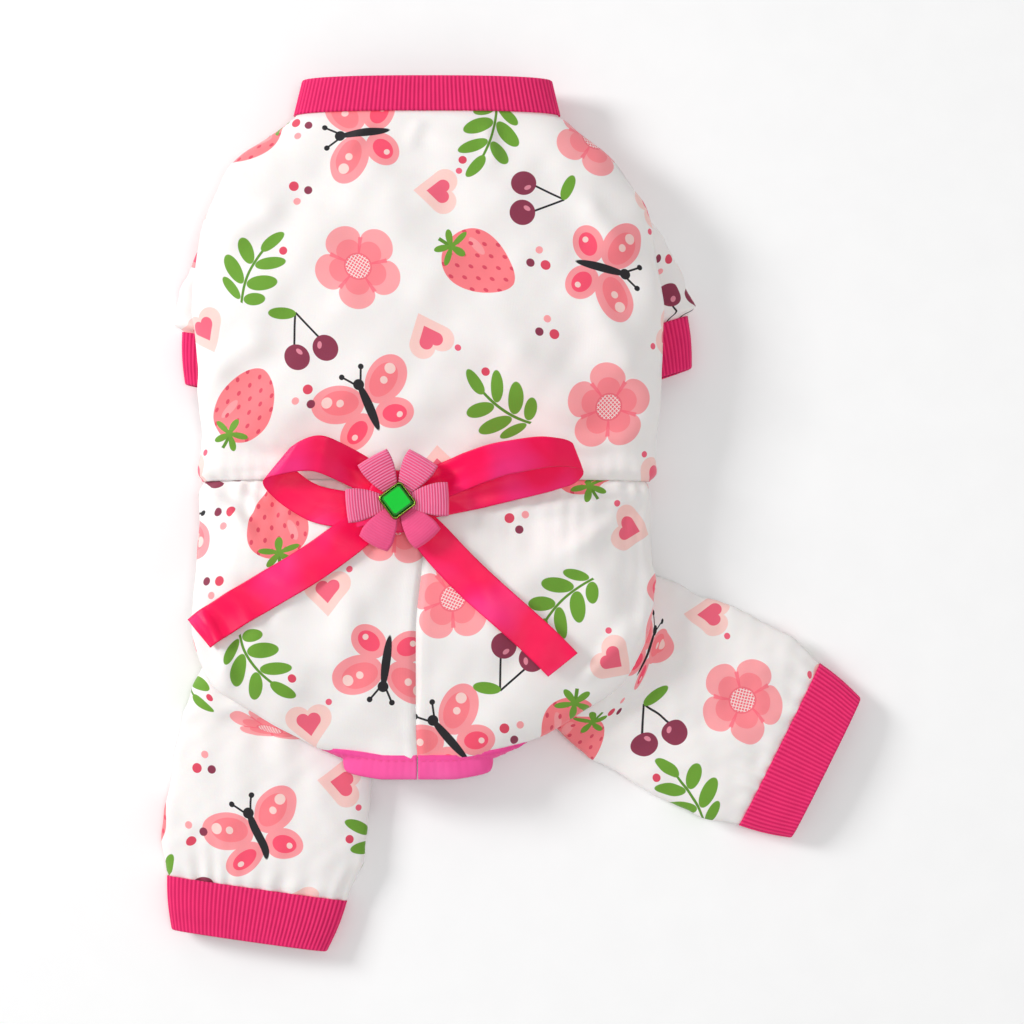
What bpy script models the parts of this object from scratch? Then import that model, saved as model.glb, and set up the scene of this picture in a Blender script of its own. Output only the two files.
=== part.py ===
"""Dog jumpsuit lying flat, back side up: a knit body with four legs, rib cuffs, bound belly opening and a bow.

Metres. Z = 0 is the floor and +Y runs to the neck. The formulas measure from the middle of the waist seam,
and every finished mesh is then moved so that X = Y = 0 is the middle of the whole part.
"""

import math
from collections import namedtuple

import bmesh
import bpy
import numpy as np
from mathutils import Matrix

# Cloth and clearances
GAP = 0.0003
CLOTH = 0.0015
RIB_CLOTH = 0.0018
TAPE = 0.0008
RIBBON = 0.0006

# Middle of the whole part, from the middle of the waist seam
PART_MIDDLE_X = 0.0350
PART_MIDDLE_Y = -0.0124

# Body, as it lies
BODY_HALF_WIDTH = 0.0955
BODICE_LENGTH = 0.150
SEAT_LENGTH = 0.112
BODY_HEIGHT = 0.034
EDGE_HEIGHT = 0.019
BELLY_LIFT = 0.0022
SIDE_ROUNDNESS = 2.6
TOP_ROUNDNESS = 2.2
NECKBAND_LENGTH = 0.014
NECKBAND_TAPER = 0.06
GATHER_DEPTH = 0.0008
GATHER_PITCH = 0.015
GATHER_REACH = 0.014

# Belly seams, opening and placket
SEAM_HALF_WIDTH_WAIST = 0.045
SEAM_HALF_WIDTH_CHEST = 0.027
SEAM_TURN = 0.6
ARCH_RISE = 0.0175
ARCH_FLATNESS = 2.2
BINDING_WIDTH = 0.0085
PLACKET_REACH = 0.0125
PLACKET_LAP = 0.0205
PLACKET_STEP = 0.0046
SNAP_RADIUS = 0.0060
SNAP_HEIGHT = 0.0018
SNAP_SHIFT = -0.0022
SNAP_PROFILE = ((0.62, 0.0), (0.86, 0.12), (1.0, 0.55), (1.0, 1.0))
SNAP_SIDES = 16

# Legs, front and rear
LIMB_HEIGHT = 0.011
LIMB_CLEARANCE = 0.0020
SLEEVE_RAMP = 0.010
REAR_RAMP = 0.018
THIGH_STRIP = 0.012
SLEEVE_HALF_WIDTH = 0.040
SLEEVE_LENGTH = 0.056
REAR_HALF_WIDTH = 0.0415
REAR_LENGTH = 0.104
ROOT_ACROSS = 0.0245
ROOT_ALONG = 0.0245
ELBOW_LENGTH = 0.043
ELBOW_BENDS = (0.0, 0.0, 0.12, 0.30, 0.52, 0.76, 1.0)
ELBOW_WIDTH = 0.97
COLLAR_RISE = 0.6 * CLOTH
ARMHOLE_GAP = 1.3 * GAP
LIMB_SIDES = 16
LIMB_ROWS = 4
WIDENING = 0.6
HEM_TUCK = 0.0045
HEM_START = 0.72
HEM_DROP = 0.25 * HEM_TUCK
CUFF_LENGTH = 0.0205
CUFF_TAPER = 0.005
CUFF_MOUTH_HEIGHT = 0.0118
TUBE_SIDE_POWER = 0.75
TUBE_CROWN_POWER = 0.85
TUBE_FLATNESS = 1.12
RIB_DEPTH = 0.0005
CUFF_RIBS = 22
NECKBAND_RIBS = 28

# Bow, flower and stone
RIBBON_WIDTH = 0.0150
LEFT_LOOP_LENGTH = 0.0515
RIGHT_LOOP_LENGTH = 0.0745
LOOP_HEIGHT = 0.011
BACKING_RADIUS = 0.0125
BACKING_THICKNESS = 0.0012
PETAL_LENGTH = 0.0203
PETAL_WIDTH = 0.0128
PETAL_START = 0.0048
PETAL_HEIGHT = 0.0030
PETAL_NARROW = 0.30
TAIL_START = 0.92 * BACKING_RADIUS
TAIL_RISE = 3 * RIBBON
BACKING_SIDES = 20
STONE_SIDE = 0.0092
STONE_HEIGHT = 0.0036
STONE_SEAT = 0.70
STONE_LEAN = 37.0
STONE_CORNER = 0.16
STONE_GIRDLE = 0.35
STONE_TABLE = 0.62
RIM_WALL = 0.0007
RIM_HEIGHT = 0.0022

# Points of the cloth's grids, shared by the pieces that meet along a seam
BODICE_ROWS = 11
HEM_ROW = 0.03
BODICE_COLUMNS = 31
BELLY_COLUMNS = 8
SEAT_ROWS = 14
SEAT_COLUMNS = 17
SEAT_ROW_POWER = 1.2
SEAT_COLUMN_LEAN = 0.3
WALK_STEP = 0.0008
SLOPE_STEP = 1e-4
SHARP_EDGE = 50.0

# One row for each section of the body. station is a share of BODICE_LENGTH above the waist and of
# SEAT_LENGTH below it; half_width and shift are shares of BODY_HALF_WIDTH, top of BODY_HEIGHT and
# edge, the height of the side fold, of EDGE_HEIGHT.
Section = namedtuple("Section", "station half_width top edge shift")
SECTIONS = (
    Section(-1.00, 0.314, 0.62, 0.76, -0.030),
    Section(-0.95, 0.450, 0.66, 0.80, -0.034),
    Section(-0.85, 0.670, 0.74, 0.87, -0.036),
    Section(-0.72, 0.880, 0.82, 0.95, -0.036),
    Section(-0.54, 0.953, 0.91, 0.95, -0.034),
    Section(-0.27, 0.968, 0.91, 0.79, -0.006),
    Section(0.00, 0.958, 0.82, 0.68, 0.000),
    Section(0.25, 0.984, 0.94, 0.92, 0.020),
    Section(0.45, 1.000, 1.00, 1.00, 0.010),
    Section(0.65, 0.974, 0.97, 1.00, 0.000),
    Section(0.85, 0.838, 0.85, 0.90, 0.000),
    Section(1.00, 0.576, 0.70, 0.68, 0.000),
)

# Edge of the belly opening below the waist: the angle in degrees round the section, under the body
# where it is negative and over it where it is positive.
OpeningEdge = namedtuple("OpeningEdge", "station angle")
OPENING_EDGE = (
    OpeningEdge(-1.00, 68.0),
    OpeningEdge(-0.98, 38.0),
    OpeningEdge(-0.955, 0.0),
    OpeningEdge(-0.91, -44.0),
    OpeningEdge(-0.85, -66.0),
    OpeningEdge(-0.75, -78.5),
    OpeningEdge(-0.54, -80.5),
    OpeningEdge(-0.38, -75.5),
    OpeningEdge(-0.27, -65.0),
    OpeningEdge(-0.18, -55.0),
    OpeningEdge(-0.09, -49.5),
    OpeningEdge(0.00, -51.0),
)

# Soft folds of the upper face. x is a share of BODY_HALF_WIDTH, y a station; height is a share of
# CLOTH and width a share of BODY_HALF_WIDTH.
Fold = namedtuple("Fold", "x0 y0 x1 y1 height width")
FOLDS = (
    Fold(-0.75, 0.10, 0.05, 0.34, 1.1, 0.10),
    Fold(0.85, 0.12, 0.20, 0.42, 1.2, 0.10),
    Fold(-0.60, 0.62, 0.25, 0.78, 0.9, 0.12),
    Fold(0.70, 0.55, 0.30, 0.85, 0.9, 0.10),
    Fold(0.90, -0.12, 0.35, -0.42, 1.3, 0.09),
    Fold(-0.85, -0.15, -0.45, -0.55, 1.1, 0.09),
    Fold(0.72, -0.30, 0.80, -0.70, 1.2, 0.08),
    Fold(-0.30, -0.70, 0.30, -0.82, -0.8, 0.10),
)

# Front and rear legs. root_x is a share of BODY_HALF_WIDTH, root_y a station, angle the direction
# in degrees from +X in which the leg lies. The body is raised over the leg and over a strip beside
# its root, and comes down to the belly along the ramp.
Limb = namedtuple("Limb", "name cuff panel root_x root_y angle half_width length strip ramp")
LIMBS = (
    Limb("sleeve_left", "sleeve_cuff_left", "back_bodice", -0.590, 0.745, -100.0,
         SLEEVE_HALF_WIDTH, SLEEVE_LENGTH, 0.0, SLEEVE_RAMP),
    Limb("sleeve_right", "sleeve_cuff_right", "back_bodice", 0.590, 0.745, -72.0,
         SLEEVE_HALF_WIDTH, SLEEVE_LENGTH, 0.0, SLEEVE_RAMP),
    Limb("leg_left", "leg_cuff_left", "seat_panel_left", -0.565, -0.55, -98.0,
         REAR_HALF_WIDTH, REAR_LENGTH, THIGH_STRIP, REAR_RAMP),
    Limb("leg_right", "leg_cuff_right", "seat_panel_right", 0.535, -0.53, -27.0,
         REAR_HALF_WIDTH, REAR_LENGTH, THIGH_STRIP, REAR_RAMP),
)

# Bow loops, from the upper end at the flower round the tip to the lower end. along is a share of the
# loop's length, across of RIBBON_WIDTH, height of LOOP_HEIGHT; roll tilts the ribbon about its run
# and yaw turns its width in plan, in degrees.
LoopRow = namedtuple("LoopRow", "along across height roll yaw")
LEFT_LOOP = (
    LoopRow(0.10, 0.20, 0.15, 0, 0),
    LoopRow(0.34, 0.50, 0.15, 2, 6),
    LoopRow(0.66, 0.66, 0.85, 14, 0),
    LoopRow(0.88, 0.36, 0.90, 14, -14),
    LoopRow(0.99, 0.03, 0.55, 8, -26),
    LoopRow(0.90, -0.28, 0.20, 4, -8),
    LoopRow(0.58, -0.62, 0.12, 0, 8),
    LoopRow(0.30, -0.50, 0.00, 0, 4),
    LoopRow(0.10, -0.20, 0.00, 0, 0),
)
RIGHT_LOOP = (
    LoopRow(0.07, 0.20, 0.15, 0, 0),
    LoopRow(0.24, 0.29, 0.15, 2, 4),
    LoopRow(0.56, 0.44, 1.05, 30, 0),
    LoopRow(0.84, 0.34, 1.30, 40, -6),
    LoopRow(0.99, 0.04, 0.90, 44, -10),
    LoopRow(0.90, -0.16, 0.42, 36, 0),
    LoopRow(0.58, -0.14, 0.20, 14, 2),
    LoopRow(0.26, -0.16, 0.00, 0, 2),
    LoopRow(0.07, -0.20, 0.00, 0, 0),
)
Loop = namedtuple("Loop", "name angle length rows")
LOOPS = (
    Loop("bow_loop_left", 165.0, LEFT_LOOP_LENGTH, LEFT_LOOP),
    Loop("bow_loop_right", 12.5, RIGHT_LOOP_LENGTH, RIGHT_LOOP),
)

# Bow tails. end_x is a share of BODY_HALF_WIDTH, end_y a station, slant a share of RIBBON_WIDTH.
Tail = namedtuple("Tail", "name end_x end_y slant")
TAILS = (
    Tail("bow_tail_left", -0.937, -0.563, -0.13),
    Tail("bow_tail_right", 0.570, -0.674, 0.11),
)
BOW_X = -0.110
BOW_Y = -0.087

PETAL_ANGLES = (120.0, 59.0, 2.0, -51.0, -119.0, -174.0)

# A petal's fold, from its upper end at the stone round the outer edge and back below: radius as a
# share of PETAL_LENGTH, where 0 stands for PETAL_START, and rise as one of PETAL_HEIGHT.
PetalRow = namedtuple("PetalRow", "radius rise")
PETAL_FOLD = (
    PetalRow(0.0, 0.42),
    PetalRow(0.45, 0.86),
    PetalRow(0.80, 1.0),
    PetalRow(0.96, 0.86),
    PetalRow(1.0, 0.55),
    PetalRow(0.96, 0.22),
    PetalRow(0.80, 0.06),
    PetalRow(0.45, 0.0),
    PetalRow(0.0, 0.0),
)
SNAP_STATIONS = (0.93, 0.44, 0.17)

COLOURS = {
    "knit": ((0.93, 0.90, 0.87), 0.85, 0.0),
    "rib": ((0.86, 0.020, 0.155), 0.85, 0.0),
    "binding": ((1.0, 0.105, 0.38), 0.75, 0.0),
    "satin": ((1.0, 0.006, 0.115), 0.32, 0.0),
    "grosgrain": ((1.0, 0.147, 0.32), 0.60, 0.0),
    "snap": ((0.93, 0.93, 0.93), 0.30, 0.0),
    "rim": ((0.62, 0.66, 0.12), 0.30, 1.0),
    "stone": ((0.010, 0.63, 0.052), 0.08, 0.0),
}


def clear_scene():
    for thing in list(bpy.data.objects):
        bpy.data.objects.remove(thing, do_unlink=True)


def finish_material(kind):
    material = bpy.data.materials.get(kind)
    if material is None:
        colour, roughness, metallic = COLOURS[kind]
        material = bpy.data.materials.new(kind)
        material.use_nodes = True
        shader = material.node_tree.nodes["Principled BSDF"]
        shader.inputs["Base Color"].default_value = (*colour, 1.0)
        shader.inputs["Roughness"].default_value = roughness
        shader.inputs["Metallic"].default_value = metallic
        material.diffuse_color = (*colour, 1.0)
    return material


def smooth(t):
    """0 below 0, 1 above 1, and an even S between."""
    t = np.clip(t, 0.0, 1.0)
    return t * t * (3.0 - 2.0 * t)


def through(rows, column, at, key="station"):
    """The column's value at each place, on a curve through the rows that never overshoots them."""
    xs = np.array([getattr(row, key) for row in rows], float)
    ys = np.array([getattr(row, column) for row in rows], float)
    return through_points(xs, ys, at)


def through_points(xs, ys, at):
    step = np.diff(xs)
    slope = np.diff(ys) / step
    before, after = slope[:-1], slope[1:]
    same = before * after > 0
    mean = np.where(same, 2 * before * after / np.where(same, before + after, 1.0), 0.0)
    tangent = np.concatenate([[slope[0]], mean, [slope[-1]]])
    at = np.clip(np.asarray(at, float), xs[0], xs[-1])
    i = np.clip(np.searchsorted(xs, at, side="right") - 1, 0, len(xs) - 2)
    t = (at - xs[i]) / step[i]
    return (
        (2 * t**3 - 3 * t**2 + 1) * ys[i]
        + (t**3 - 2 * t**2 + t) * step[i] * tangent[i]
        + (3 * t**2 - 2 * t**3) * ys[i + 1]
        + (t**3 - t**2) * step[i] * tangent[i + 1]
    )


def to_y(station):
    station = np.asarray(station, float)
    return np.where(station >= 0, station * BODICE_LENGTH, station * SEAT_LENGTH)


def to_station(y):
    y = np.asarray(y, float)
    return np.where(y >= 0, y / BODICE_LENGTH, y / SEAT_LENGTH)


def section(y):
    """Half width, height at the middle, height of the side fold and sideways shift at y."""
    at = to_station(y)
    return (
        through(SECTIONS, "half_width", at) * BODY_HALF_WIDTH,
        through(SECTIONS, "top", at) * BODY_HEIGHT,
        through(SECTIONS, "edge", at) * EDGE_HEIGHT,
        through(SECTIONS, "shift", at) * BODY_HALF_WIDTH,
    )


def limb_axes(limb):
    """The root's place on the floor plan, the direction along the leg and the one across it."""
    root = np.array([limb.root_x * BODY_HALF_WIDTH, float(to_y(limb.root_y))])
    angle = math.radians(limb.angle)
    along = np.array([math.cos(angle), math.sin(angle)])
    across = np.array([-along[1], along[0]])
    return root, along, across


def lift(x, y):
    """Height of the body's under face: low at the belly, and raised where a leg lies under it."""
    x, y = np.broadcast_arrays(np.asarray(x, float), np.asarray(y, float))
    plateau = LIMB_HEIGHT + LIMB_CLEARANCE
    height = np.full(x.shape, BELLY_LIFT)
    for limb in LIMBS:
        root, along, across = limb_axes(limb)
        run = (x - root[0]) * along[0] + (y - root[1]) * along[1]
        side = np.abs((x - root[0]) * across[0] + (y - root[1]) * across[1])
        widening = np.sin(np.clip(run / ELBOW_LENGTH, 0.0, 1.0) * math.pi / 2)
        root_reach = ROOT_ACROSS + limb.strip
        reach = np.maximum(root_reach, ROOT_ACROSS + (limb.half_width - ROOT_ACROSS) * widening)
        past = np.maximum(run - limb.length - CUFF_LENGTH, -run - ROOT_ALONG)
        far = np.hypot(np.maximum(side - reach, 0.0), np.maximum(past, 0.0))
        out = np.maximum(far - 2 * LIMB_CLEARANCE, 0.0)
        raised = BELLY_LIFT + (plateau - BELLY_LIFT) * smooth(1.0 - out / limb.ramp)
        height = np.maximum(height, raised)
    return height


def folds(x, y):
    """Soft ridges along the lines of FOLDS, fading at both ends."""
    total = np.zeros(np.broadcast(x, y).shape)
    for fold in FOLDS:
        start = np.array([fold.x0 * BODY_HALF_WIDTH, float(to_y(fold.y0))])
        end = np.array([fold.x1 * BODY_HALF_WIDTH, float(to_y(fold.y1))])
        line = end - start
        t = ((x - start[0]) * line[0] + (y - start[1]) * line[1]) / (line @ line)
        off = ((x - start[0]) * line[1] - (y - start[1]) * line[0]) / math.hypot(*line)
        width = fold.width * BODY_HALF_WIDTH
        ends = smooth(t / 0.25) * smooth((1.0 - t) / 0.25)
        total = total + fold.height * CLOTH * ends * np.exp(-((off / width) ** 2))
    return total


def profile_at(x, y):
    half_width, _, _, shift = section(y)
    share = np.clip(np.abs(x - shift) / half_width, 0.0, 1.0)
    return (1.0 - share**SIDE_ROUNDNESS) ** (1.0 / TOP_ROUNDNESS)


def over(x, y):
    """Height of the body's upper face."""
    _, top, edge, _ = section(y)
    rise = profile_at(x, y)
    return edge + (top - edge + folds(x, y)) * rise


def under(x, y):
    """Height of the body's under face."""
    _, _, edge, _ = section(y)
    return edge - (edge - lift(x, y)) * profile_at(x, y)


def body_point(angle, y):
    """A point of the body's skin: angle runs round the section from +X, over the top and under."""
    angle, y = np.broadcast_arrays(np.asarray(angle, float), np.asarray(y, float))
    half_width, _, _, shift = section(y)
    turn = np.cos(angle)
    x = shift + half_width * np.sign(turn) * np.abs(turn) ** (2.0 / SIDE_ROUNDNESS)
    z = np.where(np.sin(angle) >= 0, over(x, y), under(x, y))
    return np.stack([x, y, z], axis=-1)


def under_angle(x, y):
    """The angle round the section of the under face's point at x, from 0 to minus pi."""
    half_width, _, _, shift = section(y)
    share = np.clip((x - shift) / half_width, -1.0, 1.0)
    return -np.arccos(np.sign(share) * np.abs(share) ** (SIDE_ROUNDNESS / 2.0))


def arch_half_width():
    return float(body_point(math.radians(OPENING_EDGE[-1].angle), 0.0)[0])


def arch(x):
    """Y of the belly hem at x, a flat arch that comes down to the waist at both ends."""
    share = np.clip(np.abs(x) / arch_half_width(), 0.0, 1.0)
    return ARCH_RISE * (1.0 - share**ARCH_FLATNESS)


def seam_half_width(y):
    share = smooth(np.asarray(y, float) / (SEAM_TURN * BODICE_LENGTH))
    return SEAM_HALF_WIDTH_WAIST + (SEAM_HALF_WIDTH_CHEST - SEAM_HALF_WIDTH_WAIST) * share


def opening_angle(y):
    return np.radians(through(OPENING_EDGE, "angle", to_station(y)))


def link(name, mesh, kind):
    mesh.transform(Matrix.Translation((-PART_MIDDLE_X, -PART_MIDDLE_Y, 0.0)))
    thing = bpy.data.objects.new(name, mesh)
    thing.data.materials.append(finish_material(kind))
    bpy.context.collection.objects.link(thing)
    thing.data.shade_smooth()
    thing.data.set_sharp_from_angle(angle=math.radians(SHARP_EDGE))
    return thing


def quads(rows, columns, closed):
    """Faces of a grid of points, joined round its columns where it is closed."""
    down = np.arange(rows - 1)[:, None]
    wrap = columns if closed else columns - 1
    side = np.arange(wrap)[None, :]
    after = (side + 1) % columns
    a, b = down * columns + side, down * columns + after
    c, d = (down + 1) * columns + after, (down + 1) * columns + side
    return np.stack([a, b, c, d], axis=-1).reshape(-1, 4)


def facing(points, faces, core):
    """Faces turned so that most of them point away from core, a point for each row."""
    corners = points.reshape(-1, 3)[faces]
    normal = np.cross(corners[:, 2] - corners[:, 0], corners[:, 3] - corners[:, 1])
    middle = corners.mean(axis=1)
    row = faces[:, 0] // points.shape[1]
    away = np.einsum("ij,ij->i", normal, middle - core[row]).sum()
    return faces if away > 0 else faces[:, ::-1]


def sheet(name, points, core, wall, kind, closed=False):
    """A skin through a grid of points, given its wall on the side of core."""
    rows, columns = points.shape[:2]
    core = np.broadcast_to(core, (rows, 3))
    faces = facing(points, quads(rows, columns, closed), core)
    mesh = bpy.data.meshes.new(name)
    mesh.from_pydata(points.reshape(-1, 3).tolist(), [], faces.tolist())
    thing = link(name, mesh, kind)
    solidify = thing.modifiers.new("wall", "SOLIDIFY")
    solidify.thickness = wall
    solidify.offset = -1.0
    return thing


def swept(name, rings, kind):
    """A solid through closed rings of points, capped at both ends."""
    rows, columns = rings.shape[:2]
    faces = [list(face) for face in quads(rows, columns, True)]
    last = (rows - 1) * columns
    faces.append(list(range(columns))[::-1])
    faces.append([last + i for i in range(columns)])
    mesh = bpy.data.meshes.new(name)
    mesh.from_pydata(rings.reshape(-1, 3).tolist(), [], faces)
    made = bmesh.new()
    made.from_mesh(mesh)
    bmesh.ops.recalc_face_normals(made, faces=made.faces)
    if made.calc_volume(signed=True) < 0:
        bmesh.ops.reverse_faces(made, faces=made.faces)
    made.to_mesh(mesh)
    made.free()
    return link(name, mesh, kind)


def bodice_rows():
    """Share of the way from hem to neck for each row, the second one close above the hem."""
    return np.concatenate([[0.0], np.linspace(HEM_ROW, 1.0, BODICE_ROWS - 1)])[:, None]


def bodice_grid():
    """Angle and y of the upper back's points, from belly seam to belly seam over the top."""
    v = bodice_rows()
    u = np.linspace(0.0, 1.0, BODICE_COLUMNS)[None, :]
    top_y = BODICE_LENGTH - GAP / 2
    y = v * top_y + 0 * u
    for _ in range(3):
        seam = seam_half_width(y) + GAP / 2
        right = under_angle(seam, y)
        left = under_angle(-seam, y)
        angle = right + u * (2 * math.pi + left - right)
        x = body_point(angle, y)[..., 0]
        low = np.where(np.sin(angle) < 0, np.maximum(arch(x[:1]), 1.5 * GAP), 1.5 * GAP)[:1]
        y = low + v * (top_y - low)
    return angle, y


def make_bodice():
    """The upper back, between the waist and the neck."""
    angle, y = bodice_grid()
    points = body_point(angle, y)
    row = np.zeros(BODICE_ROWS)
    core = np.stack([row, points[:, 0, 1], row + EDGE_HEIGHT], axis=-1)
    return sheet("back_bodice", points, core, CLOTH, "knit")


def seat_rows():
    """Y of the lower back's rows, closer together at the tail."""
    left = np.linspace(1.0, 0.0, SEAT_ROWS) ** SEAT_ROW_POWER
    return -1.5 * GAP - (1.0 - left) * (SEAT_LENGTH - 1.5 * GAP)


def make_seat(side):
    """Half of the lower back, from the centre back seam round one side to the belly opening."""
    y = seat_rows()[:, None]
    end = opening_angle(y)
    u = np.linspace(0.0, 1.0, SEAT_COLUMNS)[None, :]
    u = (1.0 + SEAT_COLUMN_LEAN) * u - SEAT_COLUMN_LEAN * u**2
    centre = math.pi / 2
    seam = GAP / 2 / section(y)[0]
    angle = (centre - seam) + u * (end - centre + seam)
    if side < 0:
        angle = math.pi - angle
    y = y + 0 * u
    points = body_point(angle, y)
    arc = np.cumsum(np.linalg.norm(np.diff(points, axis=1, prepend=points[:, :1]), axis=2), axis=1)
    fade = np.exp(y / GATHER_REACH) * smooth(-y / (4 * GAP)) * smooth(u / 0.1) * smooth((1 - u) / 0.1)
    wave = GATHER_DEPTH * fade * np.sin(2 * math.pi * arc / GATHER_PITCH)
    points[..., 2] += np.where(np.sin(angle) >= 0, wave, 0.0)
    core = np.stack([0 * y[:, 0], y[:, 0], 0 * y[:, 0] + EDGE_HEIGHT * 0.9], axis=-1)
    name = "seat_panel_right" if side > 0 else "seat_panel_left"
    return sheet(name, points, core, CLOTH, "knit")


def belly_height(x, y, side):
    """The belly's under face; the left front is raised where it laps inside the right one."""
    z = under(x, y)
    if side < 0:
        start = -SEAM_HALF_WIDTH_CHEST
        z = z + PLACKET_STEP * smooth((x - start) / (-PLACKET_REACH - GAP - start))
    return z


def belly_grid(side):
    """X and y of one front's points, from its seam to its edge under the snaps."""
    v = bodice_rows()
    u = np.linspace(0.0, 1.0, BELLY_COLUMNS)[None, :]
    edge = -PLACKET_REACH if side > 0 else PLACKET_LAP - PLACKET_REACH
    y = v * BODICE_LENGTH + 0 * u
    for _ in range(3):
        seam = side * (seam_half_width(y) - GAP / 2)
        x = seam + u * (edge - seam)
        low = arch(x[:1])
        y = low + v * (BODICE_LENGTH - GAP / 2 - low)
    return x, y


def make_belly(side):
    """One front, with its seam beside the upper back's."""
    x, y = belly_grid(side)
    points = np.stack([x, y, belly_height(x, y, side)], axis=-1)
    row = np.zeros(BODICE_ROWS)
    core = np.stack([row, points[:, 0, 1], row + BODY_HEIGHT], axis=-1)
    name = "belly_panel_right" if side > 0 else "belly_panel_left"
    return sheet(name, points, core, CLOTH, "knit")


def flat_ring(count, half_width, low, high):
    """A flattened tube's section, (across, height): flat below, crowned above."""
    turn = np.linspace(0.0, 2 * math.pi, count, endpoint=False) + math.pi / count
    across = half_width * np.sign(np.cos(turn)) * np.abs(np.cos(turn)) ** TUBE_SIDE_POWER
    middle = low + 0.5 * (high - low)
    rise = np.sign(np.sin(turn)) * np.abs(np.sin(turn)) ** TUBE_CROWN_POWER
    height = middle + 0.5 * (high - low) * np.where(rise < 0, TUBE_FLATNESS * rise, rise)
    return across, np.maximum(height, low)


def make_limb(limb):
    """A leg: a collar in the body's wall, an elbow down to the floor, and a flat tube to the hem."""
    root, along, across = limb_axes(limb)
    turn = np.linspace(0.0, 2 * math.pi, LIMB_SIDES, endpoint=False) + math.pi / LIMB_SIDES
    rings = []
    cores = []
    for bend in ELBOW_BENDS:
        reach = math.sin(bend * math.pi / 2)
        stand = math.cos(bend * math.pi / 2)
        half_width = ROOT_ACROSS + (limb.half_width * ELBOW_WIDTH - ROOT_ACROSS) * reach
        side, height = flat_ring(LIMB_SIDES, half_width, 0.0, LIMB_HEIGHT)
        oval = half_width * np.cos(turn)
        side = oval + (side - oval) * reach
        run = ELBOW_LENGTH * bend + ROOT_ALONG * stand * np.sin(turn)
        plan = root + run[:, None] * along + side[:, None] * across
        wall = under(plan[:, 0], plan[:, 1]) - 2 * GAP
        if not rings:
            wall = wall + COLLAR_RISE + 2 * GAP
        z = wall * (1.0 - reach) + height * reach
        rings.append(np.column_stack([plan, z]))
        cores.append([*(root + along * ELBOW_LENGTH * bend), LIMB_HEIGHT / 2])
    straight = limb.length - ELBOW_LENGTH
    for share in np.linspace(0.0, 1.0, LIMB_ROWS + 1)[1:]:
        hem = smooth((share - HEM_START) / (1.0 - HEM_START))
        widened = ELBOW_WIDTH + (1.0 - ELBOW_WIDTH) * smooth(share / WIDENING)
        half_width = limb.half_width * widened - HEM_TUCK * hem
        side, height = flat_ring(LIMB_SIDES, half_width, 0.0, LIMB_HEIGHT - HEM_DROP * hem)
        run = ELBOW_LENGTH + straight * share
        plan = root + run * along + side[:, None] * across
        rings.append(np.column_stack([plan, height]))
        cores.append([*(root + along * run), LIMB_HEIGHT / 2])
    return sheet(limb.name, np.array(rings), np.array(cores), CLOTH, "knit", closed=True)


def ribbed(side, height, depth):
    """Every second point of a ring drawn in towards the ring's own middle line by depth."""
    points = np.column_stack([side, height])
    before, after = np.roll(points, 1, axis=0), np.roll(points, -1, axis=0)
    tangent = after - before
    tangent /= np.linalg.norm(tangent, axis=1)[:, None]
    inward = np.column_stack([-tangent[:, 1], tangent[:, 0]])
    points[1::2] += depth * inward[1::2]
    return points[:, 0], points[:, 1]


def make_cuff(limb):
    """A rib cuff on a leg's hem, tapering to its open mouth."""
    root, along, across = limb_axes(limb)
    start_width = limb.half_width - HEM_TUCK
    rings = []
    cores = []
    for share in (0.0, 1.0):
        half_width = start_width - CUFF_TAPER * share
        high = LIMB_HEIGHT - HEM_DROP + (CUFF_MOUTH_HEIGHT - LIMB_HEIGHT) * share
        side, height = flat_ring(2 * CUFF_RIBS, half_width, 0.0, high)
        side, height = ribbed(side, height, RIB_DEPTH)
        run = limb.length + GAP + share * CUFF_LENGTH
        plan = root + run * along + side[:, None] * across
        rings.append(np.column_stack([plan, height]))
        cores.append([*(root + along * run), high / 2])
    return sheet(limb.cuff, np.array(rings), np.array(cores), RIB_CLOTH, "rib", closed=True)


def cut_armhole(limb):
    """The oval hole in the body's wall through which the leg's collar passes."""
    root, along, across = limb_axes(limb)
    turn = np.linspace(0.0, 2 * math.pi, 40, endpoint=False)
    side = (ROOT_ACROSS + ARMHOLE_GAP) * np.cos(turn)
    run = (ROOT_ALONG + ARMHOLE_GAP) * np.sin(turn)
    plan = root + run[:, None] * along + side[:, None] * across
    low = np.column_stack([plan, np.full(len(turn), -CLOTH)])
    high = np.column_stack([plan, np.full(len(turn), EDGE_HEIGHT + COLLAR_RISE)])
    cutter = swept(limb.name + "_hole", np.array([low, high]), "knit")
    cutter.hide_render = True
    cutter.display_type = "WIRE"
    hole = bpy.data.objects[limb.panel].modifiers.new(limb.name, "BOOLEAN")
    hole.operation = "DIFFERENCE"
    hole.solver = "EXACT"
    hole.object = cutter


def make_neckband():
    """A rib band at the neck, open in a slit at the placket."""
    count = 2 * NECKBAND_RIBS
    start = float(under_angle(-PLACKET_REACH + GAP, BODICE_LENGTH))
    slit = 3 * GAP / float(section(BODICE_LENGTH)[0])
    angle = np.linspace(start + slit, start + 2 * math.pi - slit, count)
    neck = body_point(angle, np.full(count, BODICE_LENGTH))
    middle = neck.mean(axis=0)
    rings = []
    cores = []
    for share in (0.0, 1.0):
        shrink = 1.0 - NECKBAND_TAPER * share
        ring = middle + (neck - middle) * [shrink, 0.0, shrink]
        ring[:, 1] = BODICE_LENGTH + 3 * GAP + share * NECKBAND_LENGTH
        inward = middle - ring
        inward[:, 1] = 0.0
        inward /= np.linalg.norm(inward, axis=1)[:, None]
        ring[1::2] += RIB_DEPTH * inward[1::2]
        rings.append(ring)
        cores.append([middle[0], ring[0, 1], middle[2]])
    return sheet("neckband", np.array(rings), np.array(cores), RIB_CLOTH, "rib")


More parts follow.
